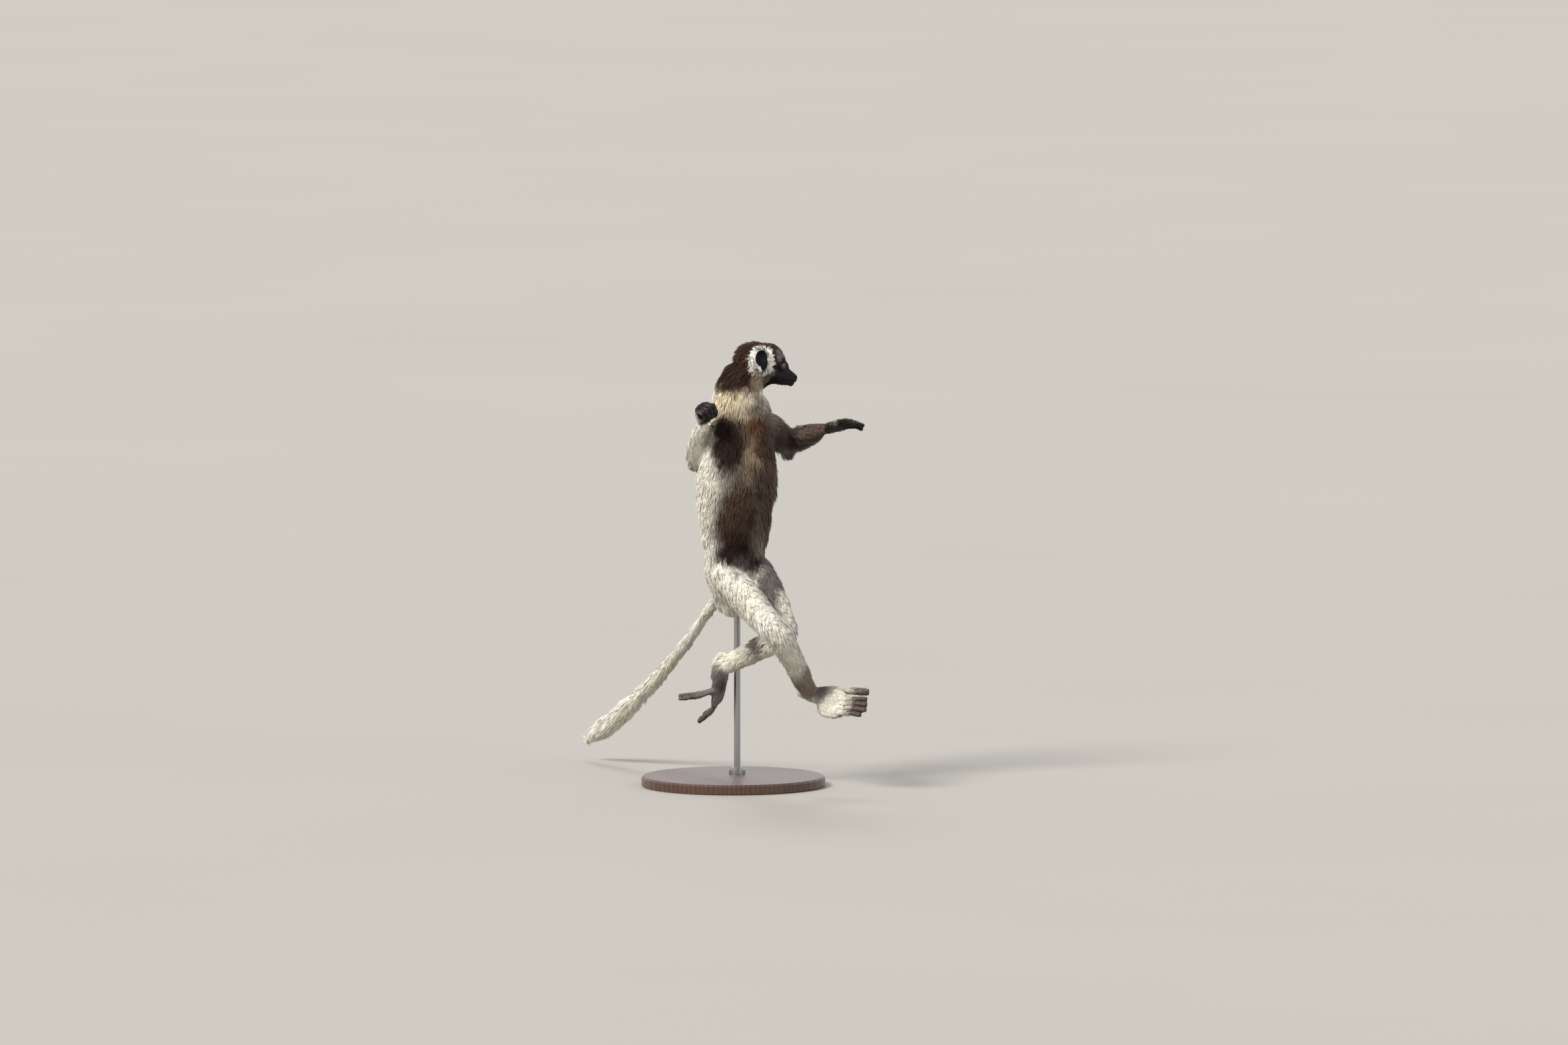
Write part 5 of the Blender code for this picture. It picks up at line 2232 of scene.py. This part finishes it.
@dataclass
class Eye:
    """An eyeball with a raised cornea, coloured in rings round its gaze."""

    side: Side
    pelt: Pelt
    radius: float = 0.0074
    bulge: float = 0.0007
    iris: float = 43.0
    rim: float = 4.0
    pupil: float = 17.0

    def aim(self) -> tuple[Vector, Vector]:
        """The eye's middle and the way it looks.

        Returns:
            The middle and the gaze.
        """
        low, high = (Vector(corner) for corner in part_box(f"eye_{self.side.value}"))
        gaze = self.pelt.head.to_3x3() @ Vector((0.80, 0.60 * self.side.sign, 0.02))
        return (low + high) / 2, gaze.normalized()

    def build(self, material: bpy.types.Material) -> None:
        """Makes and dresses the eyeball.

        Args:
            material: the shared eye finish.
        """
        seat = frame_of(*self.aim(), UP)
        shape = bmesh.new()
        turned = Matrix.Rotation(math.radians(90), 4, "Y")
        bmesh.ops.create_uvsphere(
            shape, u_segments=48, v_segments=56, radius=self.radius, matrix=turned
        )
        colours = []
        for point in shape.verts:
            angle = math.degrees(point.co.angle(Vector((1, 0, 0))))
            raised = self.bulge * max(0.0, math.cos(math.radians(min(angle * 2.0, 90)))) ** 1.2
            turn = math.atan2(point.co.z, point.co.y)
            point.co = seat @ (point.co * (1 + raised / self.radius))
            colours.append(self.colour(angle, turn))
        bmesh.ops.recalc_face_normals(shape, faces=shape.faces)
        mesh = settled(shape, f"eyeball_{self.side.value}")
        mesh.shade_smooth()
        made = mesh.attributes.new("pelt", "FLOAT_COLOR", "POINT")
        made.data.foreach_set("color", np.array(colours, dtype=np.float32).ravel())
        mesh.materials.append(material)
        piece = new_piece(mesh.name, mesh)
        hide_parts(f"eye_{self.side.value}")
        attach(piece, "root")
        log.info("%s", piece.name)

    def colour(self, angle: float, turn: float) -> tuple[float, float, float, float]:
        """The eyeball's colour at an angle off its gaze.

        Args:
            angle: degrees off the gaze.
            turn: the direction round it.

        Returns:
            A linear colour with alpha.
        """
        inside_rim = self.iris - self.rim
        fibre = 0.85 + 0.15 * math.sin(turn * 37) * math.sin(turn * 11 + 2)
        if angle < self.pupil:
            shade = tone(8, 7, 8)
        elif angle < inside_rim:
            share = (angle - self.pupil) / (inside_rim - self.pupil)
            # The amber iris is darkened to brown: painted shade under the brow.
            inner, outer = np.array(tone(100, 58, 22)), np.array(tone(54, 30, 13))
            shade = (inner + (outer - inner) * share) * fibre
        elif angle < self.iris:
            shade = tone(44, 26, 14)
        else:
            shade = tone(34, 25, 23)
        return (*[float(value) for value in shade], 1.0)


@dataclass
class Nails:
    """The nails of one hand or foot, each a bowed keel over its digit's tip."""

    name: str
    pelt: Pelt
    length: float = 0.0040
    wide: float = 0.0028
    thick: float = 0.0006
    steps: int = 6

    def layer(self, tip: Matrix, digit: Digit, raised: float) -> list[list[Vector]]:
        """The points of a nail's upper or lower face.

        Args:
            tip: the frame of the digit's tip.
            digit: the digit.
            raised: how far the face lies off the nail's middle.

        Returns:
            Rows of points from the nail's root to its tip.
        """
        size, rows = digit.nail, []
        for step in range(self.steps + 1):
            share = step / self.steps
            x = (-0.52 + share) * self.length * size + digit.radius * 0.10
            narrow = self.wide * size * (1.0 - 0.55 * share**2.2)
            row = []
            for column in range(self.steps + 1):
                y = (column / self.steps - 0.5) * narrow
                drop = (2 * y / narrow) ** 2 * narrow * 0.24 + share**2 * 0.0011 * size
                row.append(tip @ Vector((x, y, digit.radius * 0.86 - drop + raised)))
            rows.append(row)
        return rows

    def add(self, shape: bmesh.types.BMesh, tip: Matrix, digit: Digit) -> None:
        """Adds one nail.

        Args:
            shape: the mesh that takes it.
            tip: the frame of the digit's tip.
            digit: the digit.
        """
        last = self.steps
        upper, lower = (
            [[shape.verts.new(spot) for spot in row] for row in self.layer(tip, digit, raised)]
            for raised in (self.thick * 0.5, -self.thick * 0.5)
        )
        for i in range(last):
            for j in range(last):
                corners = [(i, j), (i + 1, j), (i + 1, j + 1), (i, j + 1)]
                shape.faces.new([upper[a][b] for a, b in corners])
                shape.faces.new([lower[a][b] for a, b in corners[:1] + corners[:0:-1]])
        edge = [(0, j) for j in range(last)] + [(i, last) for i in range(last)]
        edge += [(last, last - j) for j in range(last)] + [(last - i, 0) for i in range(last)]
        for (i, j), (k, m) in zip(edge, edge[1:] + edge[:1]):
            shape.faces.new([upper[i][j], upper[k][m], lower[k][m], lower[i][j]])

    def build(self, digits: list[Digit], material: bpy.types.Material) -> None:
        """Makes and dresses the nails.

        Args:
            digits: the hand's or foot's digits.
            material: the shared horn finish.
        """
        shape = bmesh.new()
        for digit in digits:
            self.add(shape, digit.joints(self.pelt.seats[self.name])[1], digit)
        bmesh.ops.recalc_face_normals(shape, faces=shape.faces)
        mesh = settled(shape, f"nails_{self.name}")
        mesh.shade_smooth()
        mesh.materials.append(material)
        piece = new_piece(mesh.name, mesh)
        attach(piece, "root")
        log.info("%s: %d nails", piece.name, len(digits))


# ---- Stand, floor, light and camera ----


class Stand:
    """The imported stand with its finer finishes."""

    def dress(self) -> None:
        """Gives the base its wood and the rod and collar their steel."""
        wood, steel = WoodFinish().make(), SteelFinish().make()
        for name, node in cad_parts.items():
            if name.startswith("stand_"):
                node.data.materials.clear()
                node.data.materials.append(wood if name == "stand_base" else steel)
        log.info("stand: wood and steel")


@dataclass
class Studio:
    """A pale floor, soft light and the camera."""

    floor_radius: float = 120.0
    aim: Triple = (0.080, 0.0, 0.417)
    width: float = 2.471
    lens: float = 300.0
    sensor: float = 36.0
    heading: float = -90.0
    elevation: float = 5.0
    sky: Tone = (0.92, 0.94, 0.97)
    sky_strength: float = 0.86

    def floor(self) -> None:
        """Lays the floor."""
        shape = bmesh.new()
        bmesh.ops.create_circle(shape, cap_ends=True, radius=self.floor_radius, segments=96)
        mesh = settled(shape, "floor")
        mesh.materials.append(FloorFinish().make())
        new_piece("floor", mesh)

    def lamp(self, name: str, way: Pair, soft: float, power: float, colour: Tone) -> None:
        """Adds a soft far lamp.

        Args:
            name: the lamp's name.
            way: the heading and the pitch it stands in, in degrees.
            soft: how wide it looks from the animal, in degrees.
            power: its strength.
            colour: its colour.
        """
        data = bpy.data.lights.new(name, "SUN")
        data.angle, data.energy, data.color = math.radians(soft), power, colour
        self.point_at_aim(new_piece(name, data), direction(*way), 4.0)

    def point_at_aim(self, made: bpy.types.Object, away: Vector, far: float) -> None:
        """Sets a lamp or the camera off and turns it to what it looks at."""
        made.location = Vector(self.aim) + away * far
        made.rotation_euler = away.to_track_quat("Z", "Y").to_euler()

    def light(self) -> None:
        """Sets the lamps and the pale surroundings."""
        self.lamp("key", (-140, 42), 20.0, 3.9, (1.0, 0.955, 0.89))
        self.lamp("fill", (-40, 25), 40.0, 0.6, (0.93, 0.96, 1.0))
        self.lamp("rim", (100, 45), 16.0, 0.9, (1.0, 0.98, 0.95))
        world = bpy.data.worlds.new("studio")
        bpy.context.scene.world = world
        world.use_nodes = True
        sky = world.node_tree.nodes["Background"]
        sky.inputs["Color"].default_value = (*self.sky, 1.0)
        sky.inputs["Strength"].default_value = self.sky_strength

    def camera(self) -> None:
        """Places the camera low in front, as far off as its long lens needs."""
        data = bpy.data.cameras.new("camera")
        data.lens, data.sensor_width = self.lens, self.sensor
        data.clip_start, data.clip_end = 0.1, 400.0
        made = new_piece("camera", data)
        away = direction(self.heading, self.elevation)
        self.point_at_aim(made, away, self.width * self.lens / self.sensor)
        bpy.context.scene.camera = made
        bpy.context.scene.view_settings.view_transform = "Standard"

    def build(self) -> None:
        """Makes floor, light and camera."""
        self.floor()
        self.light()
        self.camera()
        log.info("studio ready")


def main() -> None:
    """Builds the animal, dresses the stand and sets the studio."""
    logging.basicConfig(level=logging.INFO, format="%(message)s")
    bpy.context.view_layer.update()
    skeleton = Skeleton()
    pelt, markings = Pelt(skeleton), Markings(skeleton)
    skin = Skin(pelt, markings).build()
    skin.dress()
    coat = Coat(skin, pelt, markings)
    for growth in Coat.GROWTHS:
        coat.build(growth)
    wet, horn = EyeFinish().make(), HornFinish().make()
    for side in Side:
        Eye(side, pelt).build(wet)
    for name, digits in skeleton.digits().items():
        Nails(name, pelt).build(digits, horn)
    Stand().dress()
    Studio().build()


if __name__ == "__main__":
    main()
